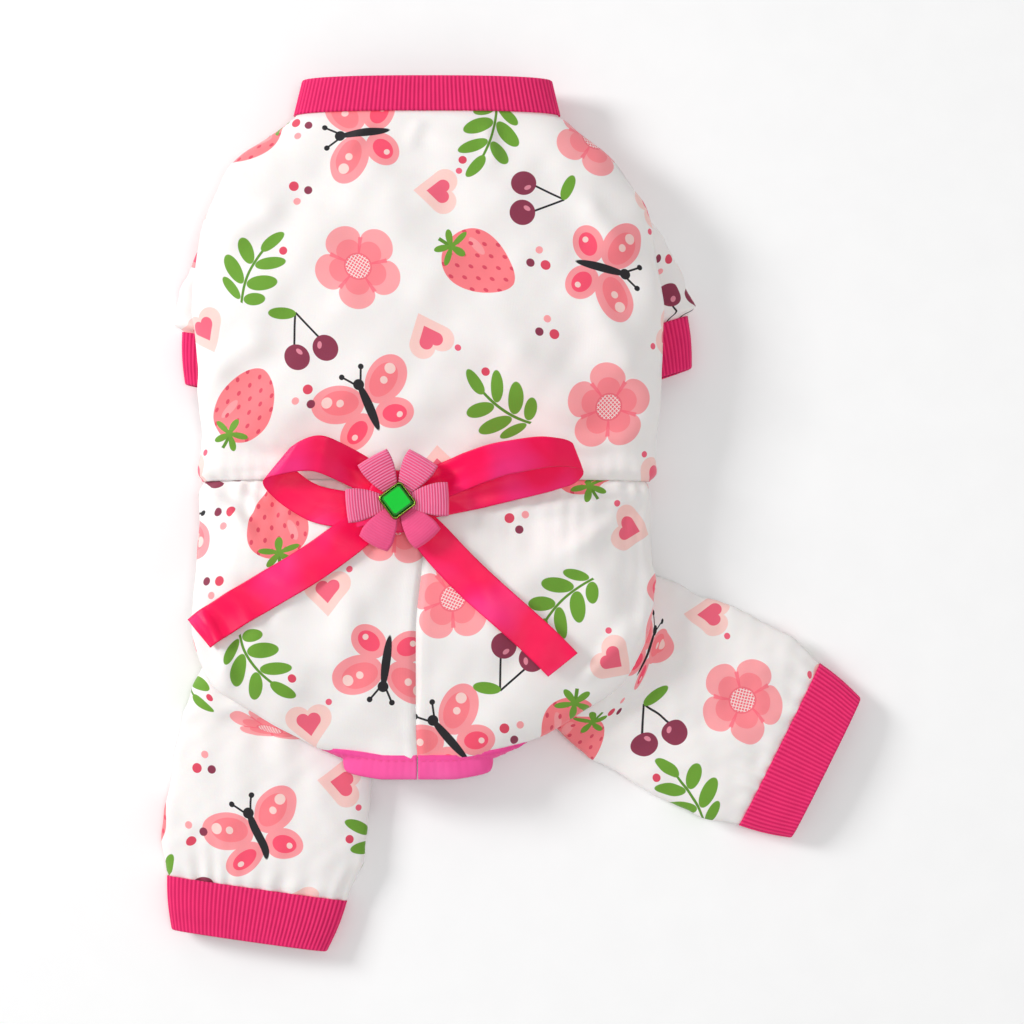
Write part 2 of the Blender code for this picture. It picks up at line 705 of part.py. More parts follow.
def outward(by_angle, by_y):
    """Unit normals of the skin, away from the body's inside."""
    normal = np.cross(by_y, by_angle)
    return normal / np.linalg.norm(normal, axis=1)[:, None]


def opening_path(side):
    """Angle and y of the cloth's points round half of the opening, from the belly lap to the tail."""
    belly_x, belly_y = (grid[0, ::-1] for grid in belly_grid(side))
    hem_angle, hem_y = (grid[0] for grid in bodice_grid())
    below = (np.sin(hem_angle) < 0) & (hem_y > 2 * GAP) & (np.sign(np.cos(hem_angle)) == side)
    hem_angle, hem_y = hem_angle[below], hem_y[below]
    if side < 0:
        hem_angle, hem_y = hem_angle[::-1] - 2 * math.pi, hem_y[::-1]
    back_y = np.concatenate([[0.0], seat_rows()[1:]])
    back = opening_angle(back_y)
    if side < 0:
        back = -math.pi - back
    hem = math.pi / 2 - side * GAP / float(section(-SEAT_LENGTH)[0])
    tail = np.linspace(back[-1], hem if side > 0 else hem - 2 * math.pi, 3)[1:]
    angle = np.concatenate([under_angle(belly_x, belly_y), hem_angle, back, tail])
    y = np.concatenate([belly_y, hem_y, back_y, np.full(len(tail), -SEAT_LENGTH)])
    return angle, y


def skin(angle, y, side):
    """The outer face of the cloth that one half of the tape follows."""
    point = body_point(angle, y)
    if side < 0:
        front = (np.sin(angle) < 0) & (y > 0)
        raised = belly_height(point[..., 0], y, side)
        point[..., 2] = np.where(front, raised, point[..., 2])
    return point


def tangents(angle, y, side):
    step = SLOPE_STEP
    by_angle = (skin(angle + step, y, side) - skin(angle - step, y, side)) / (2 * step)
    by_y = (skin(angle, y + step, side) - skin(angle, y - step, side)) / (2 * step)
    return by_angle, by_y


def walk(angle, y, heading, distance, side):
    """Moves each point along the skin by distance, keeping its heading as straight as the skin lets it."""
    steps = max(1, round(distance / WALK_STEP))
    for _ in range(steps):
        by_angle, by_y = tangents(angle, y, side)
        aa = np.einsum("ij,ij->i", by_angle, by_angle)
        ay = np.einsum("ij,ij->i", by_angle, by_y)
        yy = np.einsum("ij,ij->i", by_y, by_y)
        along_angle = np.einsum("ij,ij->i", by_angle, heading)
        along_y = np.einsum("ij,ij->i", by_y, heading)
        scale = aa * yy - ay**2
        angle_rate = (along_angle * yy - along_y * ay) / scale
        y_rate = (along_y * aa - along_angle * ay) / scale
        moved = by_angle * angle_rate[:, None] + by_y * y_rate[:, None]
        length = np.linalg.norm(moved, axis=1)
        heading = moved / length[:, None]
        angle = angle + angle_rate / length * distance / steps
        y = y + y_rate / length * distance / steps
    return angle, y, heading


def make_binding(side):
    """A folded tape on the cloth's edge, which it meets along its outer side and which it follows."""
    angle, y = opening_path(side)
    if side < 0:
        angle = np.where(angle < -math.pi * 1.5, angle + 2 * math.pi, angle)
    edge = skin(angle, y, side)
    run = np.gradient(edge, axis=0)
    run /= np.linalg.norm(run, axis=1)[:, None]
    heading = -side * np.cross(run, outward(*tangents(angle, y, side)))
    half = BINDING_WIDTH / 2
    places = []
    for distance in (2 * GAP, half, half):
        angle, y, heading = walk(angle, y, heading, distance, side)
        at = skin(angle, y, side)
        places.append((at, outward(*tangents(angle, y, side))))
    (near, near_up), (middle, middle_up), (far, far_up) = places
    below = -CLOTH - TAPE
    rings = np.stack([
        near + TAPE * near_up, middle + TAPE * middle_up, far, far - CLOTH * far_up,
        middle + below * middle_up, near + below * near_up,
    ], axis=1)
    name = "binding_right" if side > 0 else "binding_left"
    return swept(name, rings, "binding")


def disc(name, centre, sizes, sides, kind):
    """A turned piece: sizes holds a (radius, height) for each ring."""
    turn = np.linspace(0.0, 2 * math.pi, sides, endpoint=False)
    rings = np.array([
        np.column_stack([
            centre[0] + radius * np.cos(turn),
            centre[1] + radius * np.sin(turn),
            np.full(sides, centre[2] + height),
        ])
        for radius, height in sizes
    ])
    return swept(name, rings, kind)


def make_snap(number, station):
    """A round cap with a soft shoulder, on the outside of the lap, facing down."""
    y = float(to_y(station))
    level = float(under(SNAP_SHIFT, y)) - GAP - SNAP_HEIGHT
    sizes = [(radius * SNAP_RADIUS, height * SNAP_HEIGHT) for radius, height in SNAP_PROFILE]
    return disc(f"snap_{number}", (SNAP_SHIFT, y, level), sizes, SNAP_SIDES, "snap")


def bow_centre():
    return np.array([BOW_X * BODY_HALF_WIDTH, float(to_y(BOW_Y))])


def strip(name, points, wall, kind):
    """A ribbon through a grid of points, its wall standing on the grid."""
    below = points.mean(axis=1) - [0.0, 0.0, 1.0]
    thing = sheet(name, points, below, wall, kind)
    thing.modifiers["wall"].offset = 1.0
    return thing


def make_tail(tail):
    """A ribbon tail lying on the cloth from under the flower to its slanted end."""
    centre = bow_centre()
    end = np.array([tail.end_x * BODY_HALF_WIDTH, float(to_y(tail.end_y))])
    run = end - centre
    length = math.hypot(*run)
    run = run / length
    across = np.array([-run[1], run[0]])
    side = np.linspace(-0.5, 0.5, 4) * RIBBON_WIDTH
    share = np.linspace(0.0, 1.0, 13)[:, None]
    along = TAIL_START + share * (length - TAIL_START) + share**4 * tail.slant * side[None, :]
    plan = centre + along[..., None] * run + side[None, :, None] * across
    z = over(plan[..., 0], plan[..., 1]) + 2 * GAP + TAIL_RISE * smooth((share - 0.5) / 0.5)
    return strip(tail.name, np.dstack([plan, z]), RIBBON, "satin")


def make_loop(loop):
    """A ribbon loop from the flower out to its tip and back below itself."""
    at = np.linspace(0.0, 1.0, len(loop.rows))
    s = np.linspace(0.0, 1.0, 21)
    columns = {
        name: through_points(at, np.array([getattr(row, name) for row in loop.rows], float), s)
        for name in LoopRow._fields
    }
    angle = math.radians(loop.angle)
    out = np.array([math.cos(angle), math.sin(angle)])
    up = np.array([-out[1], out[0]]) * math.copysign(1.0, math.cos(angle))
    middle = bow_centre() + (
        (columns["along"] * loop.length)[:, None] * out
        + (columns["across"] * RIBBON_WIDTH)[:, None] * up
    )
    yaw, roll = np.radians(columns["yaw"]), np.radians(columns["roll"])
    width = np.column_stack([
        (np.cos(yaw)[:, None] * up + np.sin(yaw)[:, None] * out) * np.cos(roll)[:, None],
        np.sin(roll),
    ])
    side = np.linspace(-0.5, 0.5, 3) * RIBBON_WIDTH
    plan = middle[:, None, :] + side[None, :, None] * width[:, None, :2]
    base = over(middle[:, 0], middle[:, 1])
    seat = RIBBON + 3 * GAP
    level = base + seat + 0.5 * RIBBON_WIDTH * np.abs(np.sin(roll))
    z = (level + columns["height"] * LOOP_HEIGHT)[:, None] + side[None, :] * width[:, None, 2]
    z = np.maximum(z, over(plan[..., 0], plan[..., 1]) + seat)
    points = np.dstack([plan, z])
    core = np.column_stack([
        np.broadcast_to(bow_centre() + out * 0.6 * loop.length, (len(s), 2)),
        base + 0.5 * LOOP_HEIGHT,
    ])
    return sheet(loop.name, points, core, RIBBON, "satin")


def backing_rim():
    """The backing's circle in plan and its height over the tails and both ends of a loop."""
    turn = np.linspace(0.0, 2 * math.pi, BACKING_SIDES, endpoint=False)
    circle = np.column_stack([np.cos(turn), np.sin(turn)]) * BACKING_RADIUS + bow_centre()
    loop_end = RIBBON + 3 * GAP + RIGHT_LOOP[0].height * LOOP_HEIGHT
    low = over(circle[:, 0], circle[:, 1]) + loop_end + GAP / 2
    return circle, np.maximum(low, low.mean())


def backing_top():
    return float(backing_rim()[1].max()) + BACKING_THICKNESS


def make_backing():
    """A round pad that carries the flower: curved with the cloth below, flat above."""
    circle, low = backing_rim()
    rings = np.array([
        np.column_stack([circle, low]),
        np.column_stack([circle, np.full(len(low), backing_top())]),
    ])
    return swept("bow_backing", rings, "satin")


def flower_level():
    return backing_top() + GAP


def make_petal(number, angle):
    """A folded loop of ribbon, narrow at the stone and wide at its folded outer edge."""
    turn = math.radians(angle)
    out = np.array([math.cos(turn), math.sin(turn)])
    across = np.array([-out[1], out[0]])
    radius = np.array([row.radius * PETAL_LENGTH or PETAL_START for row in PETAL_FOLD])
    rise = np.array([row.rise * PETAL_HEIGHT for row in PETAL_FOLD])
    spread = (radius - PETAL_START) / (PETAL_LENGTH - PETAL_START)
    width = PETAL_WIDTH * (PETAL_NARROW + (1.0 - PETAL_NARROW) * spread)
    side = np.linspace(-0.5, 0.5, 2)
    plan = (
        bow_centre()
        + radius[:, None, None] * out
        + (width[:, None] * side[None, :])[..., None] * across
    )
    z = flower_level() + rise[:, None] + 0 * side[None, :]
    core = np.column_stack([
        np.broadcast_to(bow_centre() + out * 0.7 * PETAL_LENGTH, (len(radius), 2)),
        np.full(len(radius), flower_level() + PETAL_HEIGHT / 2),
    ])
    return sheet(f"petal_{number}", np.dstack([plan, z]), core, RIBBON, "grosgrain")


def squared(half_side, corner):
    """The eight corners of a square standing on one corner, its corners cut off."""
    points = []
    for quarter in range(4):
        turn = quarter * math.pi / 2
        for x, y in ((half_side, corner - half_side), (half_side, half_side - corner)):
            points.append((x * math.cos(turn) - y * math.sin(turn), x * math.sin(turn) + y * math.cos(turn)))
    lean = math.radians(STONE_LEAN)
    turn = np.array([[math.cos(lean), math.sin(lean)], [-math.sin(lean), math.cos(lean)]])
    return np.array(points) @ turn


def make_stone():
    """A square stone with a flat table, eight sloping facets and an upright girdle, in its metal rim."""
    centre = bow_centre()
    seat = flower_level() + STONE_SEAT * PETAL_HEIGHT + GAP
    half = STONE_SIDE / 2
    rows = ((half, 0.0), (half, STONE_GIRDLE * STONE_HEIGHT), (STONE_TABLE * half, STONE_HEIGHT))
    rings = np.array([
        np.column_stack([squared(size, STONE_CORNER * size) + centre, np.full(8, seat + height)])
        for size, height in rows
    ])
    swept("gem_stone", rings, "stone")
    inner, outer = half + GAP, half + GAP + RIM_WALL
    base, top = seat, seat + RIM_HEIGHT
    loops = ((inner, base), (outer, base), (outer, top), (inner, top))
    corners = [
        np.column_stack([squared(size, STONE_CORNER * size) + centre, np.full(8, height)])
        for size, height in loops
    ]
    around = np.stack(corners, axis=1)
    mesh = bpy.data.meshes.new("gem_rim")
    count = len(around)
    faces = []
    for i in range(count):
        j = (i + 1) % count
        for k in range(4):
            m = (k + 1) % 4
            faces.append([4 * i + k, 4 * i + m, 4 * j + m, 4 * j + k])
    mesh.from_pydata(around.reshape(-1, 3).tolist(), [], faces)
    made = bmesh.new()
    made.from_mesh(mesh)
    bmesh.ops.recalc_face_normals(made, faces=made.faces)
    made.to_mesh(mesh)
    made.free()
    link("gem_rim", mesh, "rim")


def main():
    clear_scene()
    make_bodice()
    for side in (-1, 1):
        make_seat(side)
        make_belly(side)
        make_binding(side)
    for limb in LIMBS:
        make_limb(limb)
        make_cuff(limb)
        cut_armhole(limb)
    make_neckband()
    for number, station in enumerate(SNAP_STATIONS, 1):
        make_snap(number, station)
    for tail in TAILS:
        make_tail(tail)
    for loop in LOOPS:
        make_loop(loop)
    make_backing()
    for number, angle in enumerate(PETAL_ANGLES, 1):
        make_petal(number, angle)
    make_stone()


main()
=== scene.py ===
import math

import bmesh
import bpy
import numpy as np
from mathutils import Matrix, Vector


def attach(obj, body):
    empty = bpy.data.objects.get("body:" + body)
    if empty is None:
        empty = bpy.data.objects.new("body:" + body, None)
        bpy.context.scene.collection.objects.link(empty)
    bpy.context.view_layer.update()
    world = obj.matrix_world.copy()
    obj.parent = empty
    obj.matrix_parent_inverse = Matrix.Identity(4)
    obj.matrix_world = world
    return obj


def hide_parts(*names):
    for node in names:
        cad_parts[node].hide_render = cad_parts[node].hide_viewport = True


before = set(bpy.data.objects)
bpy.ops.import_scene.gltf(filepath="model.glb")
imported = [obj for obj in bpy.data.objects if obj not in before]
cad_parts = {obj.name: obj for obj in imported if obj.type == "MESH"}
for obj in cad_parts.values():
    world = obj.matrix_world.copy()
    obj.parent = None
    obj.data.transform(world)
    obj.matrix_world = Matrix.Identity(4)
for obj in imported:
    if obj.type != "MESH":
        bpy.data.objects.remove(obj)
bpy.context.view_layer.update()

print("frame loaded")

# shape of the garment as it lies; metres, measured from the middle of the waist seam

body = {
    "middle": (0.0350, -0.0124),      # middle of the whole part, where the CAD has its origin
    "halfWidth": 0.0955, "bodiceLength": 0.150, "seatLength": 0.112,
    "height": 0.034, "foldHeight": 0.019, "bellyLift": 0.0022,
    "sideRoundness": 2.6, "topRoundness": 2.2,
    # station, half width, top, side fold, sideways shift, as shares of the sizes above
    "sections": np.array([
        (-1.00, 0.314, 0.62, 0.76, -0.030), (-0.95, 0.450, 0.66, 0.80, -0.034),
        (-0.85, 0.670, 0.74, 0.87, -0.036), (-0.72, 0.880, 0.82, 0.95, -0.036),
        (-0.54, 0.953, 0.91, 0.95, -0.034), (-0.27, 0.968, 0.91, 0.79, -0.006),
        (0.00, 0.958, 0.82, 0.68, 0.000), (0.25, 0.984, 0.94, 0.92, 0.020),
        (0.45, 1.000, 1.00, 1.00, 0.010), (0.65, 0.974, 0.97, 1.00, 0.000),
        (0.85, 0.838, 0.85, 0.90, 0.000), (1.00, 0.576, 0.70, 0.68, 0.000)]),
    # station and angle in degrees round the section of the belly opening's edge
    "opening": np.array([
        (-1.00, 68.0), (-0.98, 38.0), (-0.955, 0.0), (-0.91, -44.0), (-0.85, -66.0), (-0.75, -78.5),
        (-0.54, -80.5), (-0.38, -75.5), (-0.27, -65.0), (-0.18, -55.0), (-0.09, -49.5), (0.00, -51.0)]),
    "archRise": 0.0175, "archPower": 2.2, "seamWaist": 0.045, "seamChest": 0.027, "seamEnd": 0.6,
    "lapReach": 0.0125, "lapWidth": 0.0205, "lapStep": 0.0046,
    "wall": 0.0011,
}

# root x and y, direction in degrees, half width, length, strip beside the root, ramp of the body over it
limbs = {
    "sleeve_left": (-0.05635, 0.11175, -100.0, 0.0400, 0.056, 0.000, 0.010),
    "sleeve_right": (0.05635, 0.11175, -72.0, 0.0400, 0.056, 0.000, 0.010),
    "leg_left": (-0.05396, -0.06160, -98.0, 0.0415, 0.104, 0.012, 0.018),
    "leg_right": (0.05109, -0.05936, -27.0, 0.0415, 0.104, 0.012, 0.018),
}
limbShape = {
    "height": 0.011, "clearance": 0.0020, "rootRadius": 0.0245, "elbow": 0.043, "tuck": 0.0045,
    "cuffReach": 0.0205,
}

# soft folds and creases of the upper side: from x, y to x, y, height and width, all in millimetres;
# the first eight are the large ones that the CAD has too
largeFolds = 8
backFolds = np.array([
    (-71.6, 15, 4.8, 51, 1.65, 9.5), (81, 18, 19, 63, 1.8, 9.5), (-57, 93, 24, 117, 1.35, 11.5),
    (67, 82, 29, 127, 1.35, 9.5), (86, -13, 33, -47, 1.95, 8.6), (-81, -17, -43, -62, 1.65, 8.6),
    (69, -34, 76, -78, 1.8, 7.6), (-29, -78, 29, -92, -1.2, 9.5),
    (-92, -3, -66, -24, 1.3, 3.2), (-80, -2, -62, -15, 0.9, 2.6), (-58, -1, -52, -17, 0.7, 2.8),
    (91, -4, 58, -12, 1.4, 3.2), (70, -5, 24, -15, 0.8, 3.6), (80, -10, 52, -34, 0.9, 4.0),
    (93, -28, 80, -80, 1.5, 4.2), (84, -52, 60, -86, 0.9, 3.6), (-93, -50, -74, -84, 1.7, 3.8),
    (-84, -44, -60, -70, 0.8, 4.4), (-30, -40, -36, -84, 0.7, 5.5), (18, -34, 30, -84, 0.7, 6.5),
    (-90, 36, -60, 60, 1.1, 6.0), (92, 40, 62, 74, 1.1, 6.5), (-84, 92, -56, 112, 1.0, 5.5),
    (86, 88, 60, 116, 1.1, 5.5), (-88, 20, -52, 12, 0.9, 4.0), (90, 22, 44, 10, 0.9, 4.6),
    (-34, 128, -20, 148, 0.8, 3.6), (30, 126, 24, 148, 0.8, 3.6), (-6, 132, -2, 149, 0.5, 3.0),
    (-46, 66, 40, 74, 0.5, 9.0), (-20, 26, 50, 34, 0.5, 7.5),
])


def smooth(t):                       # 0 below 0, 1 above 1, an even S between
    t = np.clip(t, 0.0, 1.0)
    return t * t * (3.0 - 2.0 * t)


def bell(distance, width):           # 1 at 0, falling off evenly to both sides
    return np.exp(-((distance / width) ** 2))


def through(xs, ys, at):
    # curve through the rows that never overshoots them: cubic pieces, whose slope at each row is
    # the harmonic mean of the slopes on both sides
    step = np.diff(xs)
    slope = np.diff(ys) / step
    before, after = slope[:-1], slope[1:]
    same = before * after > 0
    mean = np.where(same, 2 * before * after / np.where(same, before + after, 1.0), 0.0)
    tangent = np.concatenate([[slope[0]], mean, [slope[-1]]])
    at = np.clip(np.asarray(at, float), xs[0], xs[-1])
    i = np.clip(np.searchsorted(xs, at, side="right") - 1, 0, len(xs) - 2)
    t = (at - xs[i]) / step[i]
    return ((2 * t**3 - 3 * t**2 + 1) * ys[i] + (t**3 - 2 * t**2 + t) * step[i] * tangent[i]
            + (3 * t**2 - 2 * t**3) * ys[i + 1] + (t**3 - t**2) * step[i] * tangent[i + 1])


def stationOf(y):                    # 0 at the waist, 1 at the neck, -1 at the tail
    y = np.asarray(y, float)
    return np.where(y >= 0, y / body["bodiceLength"], y / body["seatLength"])


def section(y):                      # half width, middle height, side fold height and shift at y
    at = stationOf(y)
    rows = body["sections"]
    sizes = (body["halfWidth"], body["height"], body["foldHeight"], body["halfWidth"])
    return [through(rows[:, 0], rows[:, i + 1], at) * size for i, size in enumerate(sizes)]


def limbAxes(name):                  # root, and the directions along and across the leg, in plan
    x, y, angle = limbs[name][:3]
    along = direction(angle)
    return np.array([x, y]), along, np.array([-along[1], along[0]])


def liftAt(x, y):
    # height of the under side: the belly's own, raised to a plateau over each leg that lies under it
    x, y = np.broadcast_arrays(np.asarray(x, float), np.asarray(y, float))
    shape = limbShape
    belly = body["bellyLift"]
    plateau = shape["height"] + shape["clearance"]
    height = np.full(x.shape, belly)
    for name, (_, _, _, halfWidth, length, strip, ramp) in limbs.items():
        root, along, across = limbAxes(name)
        run = (x - root[0]) * along[0] + (y - root[1]) * along[1]
        side = np.abs((x - root[0]) * across[0] + (y - root[1]) * across[1])
        widening = np.sin(np.clip(run / shape["elbow"], 0.0, 1.0) * math.pi / 2)
        reach = np.maximum(shape["rootRadius"] + strip,
                           shape["rootRadius"] + (halfWidth - shape["rootRadius"]) * widening)
        past = np.maximum(run - length - shape["cuffReach"], -run - shape["rootRadius"])
        far = np.hypot(np.maximum(side - reach, 0.0), np.maximum(past, 0.0))
        out = np.maximum(far - 2 * shape["clearance"], 0.0)
        height = np.maximum(height, belly + (plateau - belly) * smooth(1.0 - out / ramp))
    return height


foldLine = {"bow": 0.05, "bowTurn": 1.3, "fade": 0.3}


def ridges(x, y, rows):
    # each row is a slightly bowed soft ridge: a bell across it, fading in and out at its two ends
    total = np.zeros(np.broadcast(x, y).shape)
    for x0, y0, x1, y1, height, width in rows / 1000.0:
        lineX, lineY = x1 - x0, y1 - y0
        length = math.hypot(lineX, lineY)
        t = ((x - x0) * lineX + (y - y0) * lineY) / length**2
        off = ((x - x0) * lineY - (y - y0) * lineX) / length
        off = off + foldLine["bow"] * length * np.sin(t * math.pi * foldLine["bowTurn"])
        faded = smooth(t / foldLine["fade"]) * smooth((1.0 - t) / foldLine["fade"])
        total = total + height * faded * bell(off, width)
    return total


def ripples(x, y, size, height, seed, count=9):
    # uneven swells: a sum of sine waves of about one size in seeded directions
    chance = np.random.default_rng(seed)
    total = np.zeros(np.broadcast(x, y).shape)
    turns, phases = chance.uniform(0, math.pi, count), chance.uniform(0, 6.28, count)
    for turn, phase, stretch in zip(turns, phases, chance.uniform(0.7, 1.5, count)):
        run = x * math.cos(turn) + y * math.sin(turn)
        total = total + np.sin(run * 2 * math.pi / (size * stretch) + phase)
    return total * height / math.sqrt(count)


def roundness(x, y):                 # 1 in the middle of the section, 0 at its side folds, as an oval
    halfWidth, _, _, shift = section(y)
    share = np.clip(np.abs(x - shift) / halfWidth, 0.0, 1.0)
    return (1.0 - share ** body["sideRoundness"]) ** (1.0 / body["topRoundness"])


def overAt(x, y):                    # height of the upper side: crowned, with the large folds
    _, top, fold, _ = section(y)
    return fold + (top - fold + ridges(x, y, backFolds[:largeFolds])) * roundness(x, y)


def underAt(x, y):                   # height of the under side: down from the side folds to the lift
    _, _, fold, _ = section(y)
    return fold - (fold - liftAt(x, y)) * roundness(x, y)


def skin(w, y):
    # w runs round the section: 0 is the right side fold, 1 the middle of the back, 2 the left side fold,
    # below 0 and above 2 it is on the under side. x is evenly spread near the middle and slows to the folds
    w, y = np.broadcast_arrays(np.asarray(w, float), np.asarray(y, float))
    p = np.where(w < 0, 1 + w, np.where(w > 2, w - 3, 1 - w))
    halfWidth, _, _, shift = section(y)
    x = shift + halfWidth * (2 * p - p * np.abs(p))
    z = np.where((w >= 0) & (w <= 2), overAt(x, y), underAt(x, y))
    return np.stack([x, y, z], axis=-1)


def underTurn(x, y, side):           # w of the under side's point at x, counted on from that side
    halfWidth, _, _, shift = section(y)
    share = np.clip((x - shift) / halfWidth, -1.0, 1.0)
    p = np.sign(share) * (1 - np.sqrt(1 - np.abs(share)))
    return p - 1 if side > 0 else p + 3


def openingTurn(y):                  # w of the belly opening's edge on the right half
    angle = np.radians(through(body["opening"][:, 0], body["opening"][:, 1], stationOf(y)))
    share = np.cos(angle) ** (2.0 / body["sideRoundness"])
    q = 1 - np.sqrt(1 - share)
    return np.where(angle < 0, q - 1, 1 - q)


def archEnd():                       # x where the arch of the belly's hem meets the waist
    return float(skin(openingTurn(0.0), 0.0)[0])


def archAt(x):                       # y of the belly's hem: a flat arch that falls to the waist on both sides
    share = np.clip(np.abs(x) / archEnd(), 0.0, 1.0)
    return body["archRise"] * (1.0 - share ** body["archPower"])


def seamAt(y):                       # half width of the belly between its two seams
    share = smooth(np.asarray(y, float) / (body["seamEnd"] * body["bodiceLength"]))
    return body["seamWaist"] + (body["seamChest"] - body["seamWaist"]) * share


def handOf(side):                    # side is 1 on the right and -1 on the left
    return "right" if side > 0 else "left"


def lapEdge(side):                   # x of the free edge of that side's belly panel
    return -body["lapReach"] if side > 0 else body["lapWidth"] - body["lapReach"]


def bellyHeight(x, y, side):         # the left front rises where it laps inside the right one
    z = underAt(x, y)
    if side < 0:
        start = -body["seamChest"]
        z = z + body["lapStep"] * smooth((x - start) / (-body["lapReach"] - start))
    return z


# meshes from grids of points

def gridFaces(rows, columns, closed, flip):
    # four corners of every cell of the grid; a closed grid has a last column of cells back to the first
    down = np.arange(rows - 1)[:, None]
    side = np.arange(columns if closed else columns - 1)[None, :]
    after = (side + 1) % columns
    here, under = down * columns, (down + 1) * columns
    faces = np.stack([here + side, here + after, under + after, under + side], axis=-1).reshape(-1, 4)
    return faces[:, ::-1] if flip else faces


def gridNormals(points, core, closed):
    # cross product of the steps down and across the grid, turned away from the core line
    if closed:
        across = np.roll(points, -1, axis=1) - np.roll(points, 1, axis=1)
    else:
        across = np.gradient(points, axis=1)
    normal = np.cross(np.gradient(points, axis=0), across)
    normal /= np.maximum(np.linalg.norm(normal, axis=2), 1e-12)[..., None]
    turned = np.einsum("ijk,ijk->", normal, points - core[:, None, :]) < 0
    return (-normal if turned else normal), not turned


def unit(vectors):                   # each vector at length 1
    return vectors / np.maximum(np.linalg.norm(vectors, axis=-1), 1e-12)[..., None]


def arcLengths(points, axis):        # distance along one direction of the grid from its first line
    steps = np.linalg.norm(np.diff(points, axis=axis), axis=2)
    first = np.zeros_like(np.take(steps, [0], axis=axis))
    return np.concatenate([first, np.cumsum(steps, axis=axis)], axis=axis)


def pathLengths(points):             # distance along a line of points from its first one
    return np.concatenate([[0.0], np.cumsum(np.linalg.norm(np.diff(points, axis=0), axis=1))])


def capFaces(rows, columns, flip=False):
    # one many-sided face over the first ring of a closed grid and one over the last
    low, high = list(range(columns)), [(rows - 1) * columns + i for i in range(columns)]
    return [low, high[::-1]] if flip else [low[::-1], high]


def direction(degrees):              # unit step in plan
    return np.array([math.cos(math.radians(degrees)), math.sin(math.radians(degrees))])


def onLine(at, lengths, line):       # points of a line at given distances along it
    return np.column_stack([np.interp(at, lengths, line[:, i]) for i in range(line.shape[1])])


def evened(values, half):            # running mean down the rows
    mean = np.ones(2 * half + 1) / (2 * half + 1)
    return np.apply_along_axis(
        lambda line: np.convolve(np.pad(line, half, mode="edge"), mean, mode="valid"), 0, values)


def gridArea(points):                # sum of the cells, each as the cross product of its two sides
    a, b = np.diff(points, axis=0)[:, :-1], np.diff(points, axis=1)[:-1]
    return float(np.linalg.norm(np.cross(a, b), axis=2).sum())


def meshObject(name, vertices, faces, looks, uv=None):
    # the mesh as an object at the origin that rides on root, with uv as metres of cloth
    mesh = bpy.data.meshes.new(name)
    placed = vertices - np.array([*body["middle"], 0.0])
    mesh.from_pydata(placed.tolist(), [], faces.tolist() if hasattr(faces, "tolist") else faces)
    if uv is not None:
        layer = mesh.uv_layers.new(name="cloth")
        corners = np.empty(len(mesh.loops), np.int32)
        mesh.loops.foreach_get("vertex_index", corners)
        layer.data.foreach_set("uv", uv[corners].astype(np.float32).ravel())
    for look in looks:
        mesh.materials.append(look)
    mesh.shade_smooth()
    thing = bpy.data.objects.new(name, mesh)
    bpy.context.scene.collection.objects.link(thing)
    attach(thing, "root")
    return thing


def cloth(name, points, core, looks, uv, wall, closed=False, keep=None, offset=-1.0):
    # a skin through the grid, its wall given by Solidify on the side away from view
    rows, columns = points.shape[:2]
    core = np.broadcast_to(core, (rows, 3))
    _, flip = gridNormals(points, core, closed)
    faces = gridFaces(rows, columns, closed, flip)
    vertices = points.reshape(-1, 3)
    uv = uv.reshape(-1, 2)
    if keep is not None:
        faces = faces[keep.reshape(-1)]
        used = np.unique(faces)
        renumber = np.full(len(vertices), -1)
        renumber[used] = np.arange(len(used))
        faces, vertices, uv = renumber[faces], vertices[used], uv[used]
    thing = meshObject(name, vertices, faces, looks, uv)
    if closed:
        fixWrap(thing.data, columns, float(2 * uv[columns - 1, 0] - uv[columns - 2, 0]))
    solid = thing.modifiers.new("wall", "SOLIDIFY")
    solid.thickness = wall
    solid.offset = offset
    solid.material_offset = 1 if len(looks) > 1 else 0
    return thing





def fixWrap(mesh, columns, width):
    # the faces that close a ring carry the far side's u one width further on
    corners = np.empty(len(mesh.loops), np.int32)
    mesh.loops.foreach_get("vertex_index", corners)
    values = np.empty(len(mesh.loops) * 2, np.float32)
    layer = mesh.uv_layers[0].data
    layer.foreach_get("uv", values)
    values = values.reshape(-1, 2)
    totals = np.empty(len(mesh.polygons), np.int32)
    mesh.polygons.foreach_get("loop_total", totals)
    starts = np.concatenate([[0], np.cumsum(totals)[:-1]])
    column = corners % columns
    most = np.maximum.reduceat(column, starts)
    least = np.minimum.reduceat(column, starts)
    wraps = np.repeat((most == columns - 1) & (least == 0), totals)
    values[:, 0] += np.where(wraps & (column == 0), width, 0.0)
    layer.foreach_set("uv", values.ravel())


sheetArea = {"allowance": 1.02, "least": 0.301}


def declare(thing, points, closed=False):
    # the flat size is the longest way across and along the surface, and the area that of the grid
    width = float(arcLengths(points, 1)[:, -1].max())
    if closed:
        width += float(np.linalg.norm(points[:, 0] - points[:, -1], axis=1).max())
    length = float(arcLengths(points, 0)[-1].max())
    area = gridArea(points) * (1 + (1 / points.shape[1] if closed else 0)) / sheetArea["allowance"]
    area = min(max(area, sheetArea["least"] * width * length), width * length)
    print(f"{thing.name}: flat {width * 1000:.0f} x {length * 1000:.0f} mm, {area * 1e4:.1f} square cm")


# materials

def linear(code):                    # a screen colour such as F7F3F1 as linear red, green, blue, 1
    parts = [int(code[i:i + 2], 16) / 255 for i in (0, 2, 4)]
    return [p / 12.92 if p <= 0.04045 else ((p + 0.055) / 1.055) ** 2.4 for p in parts] + [1.0]


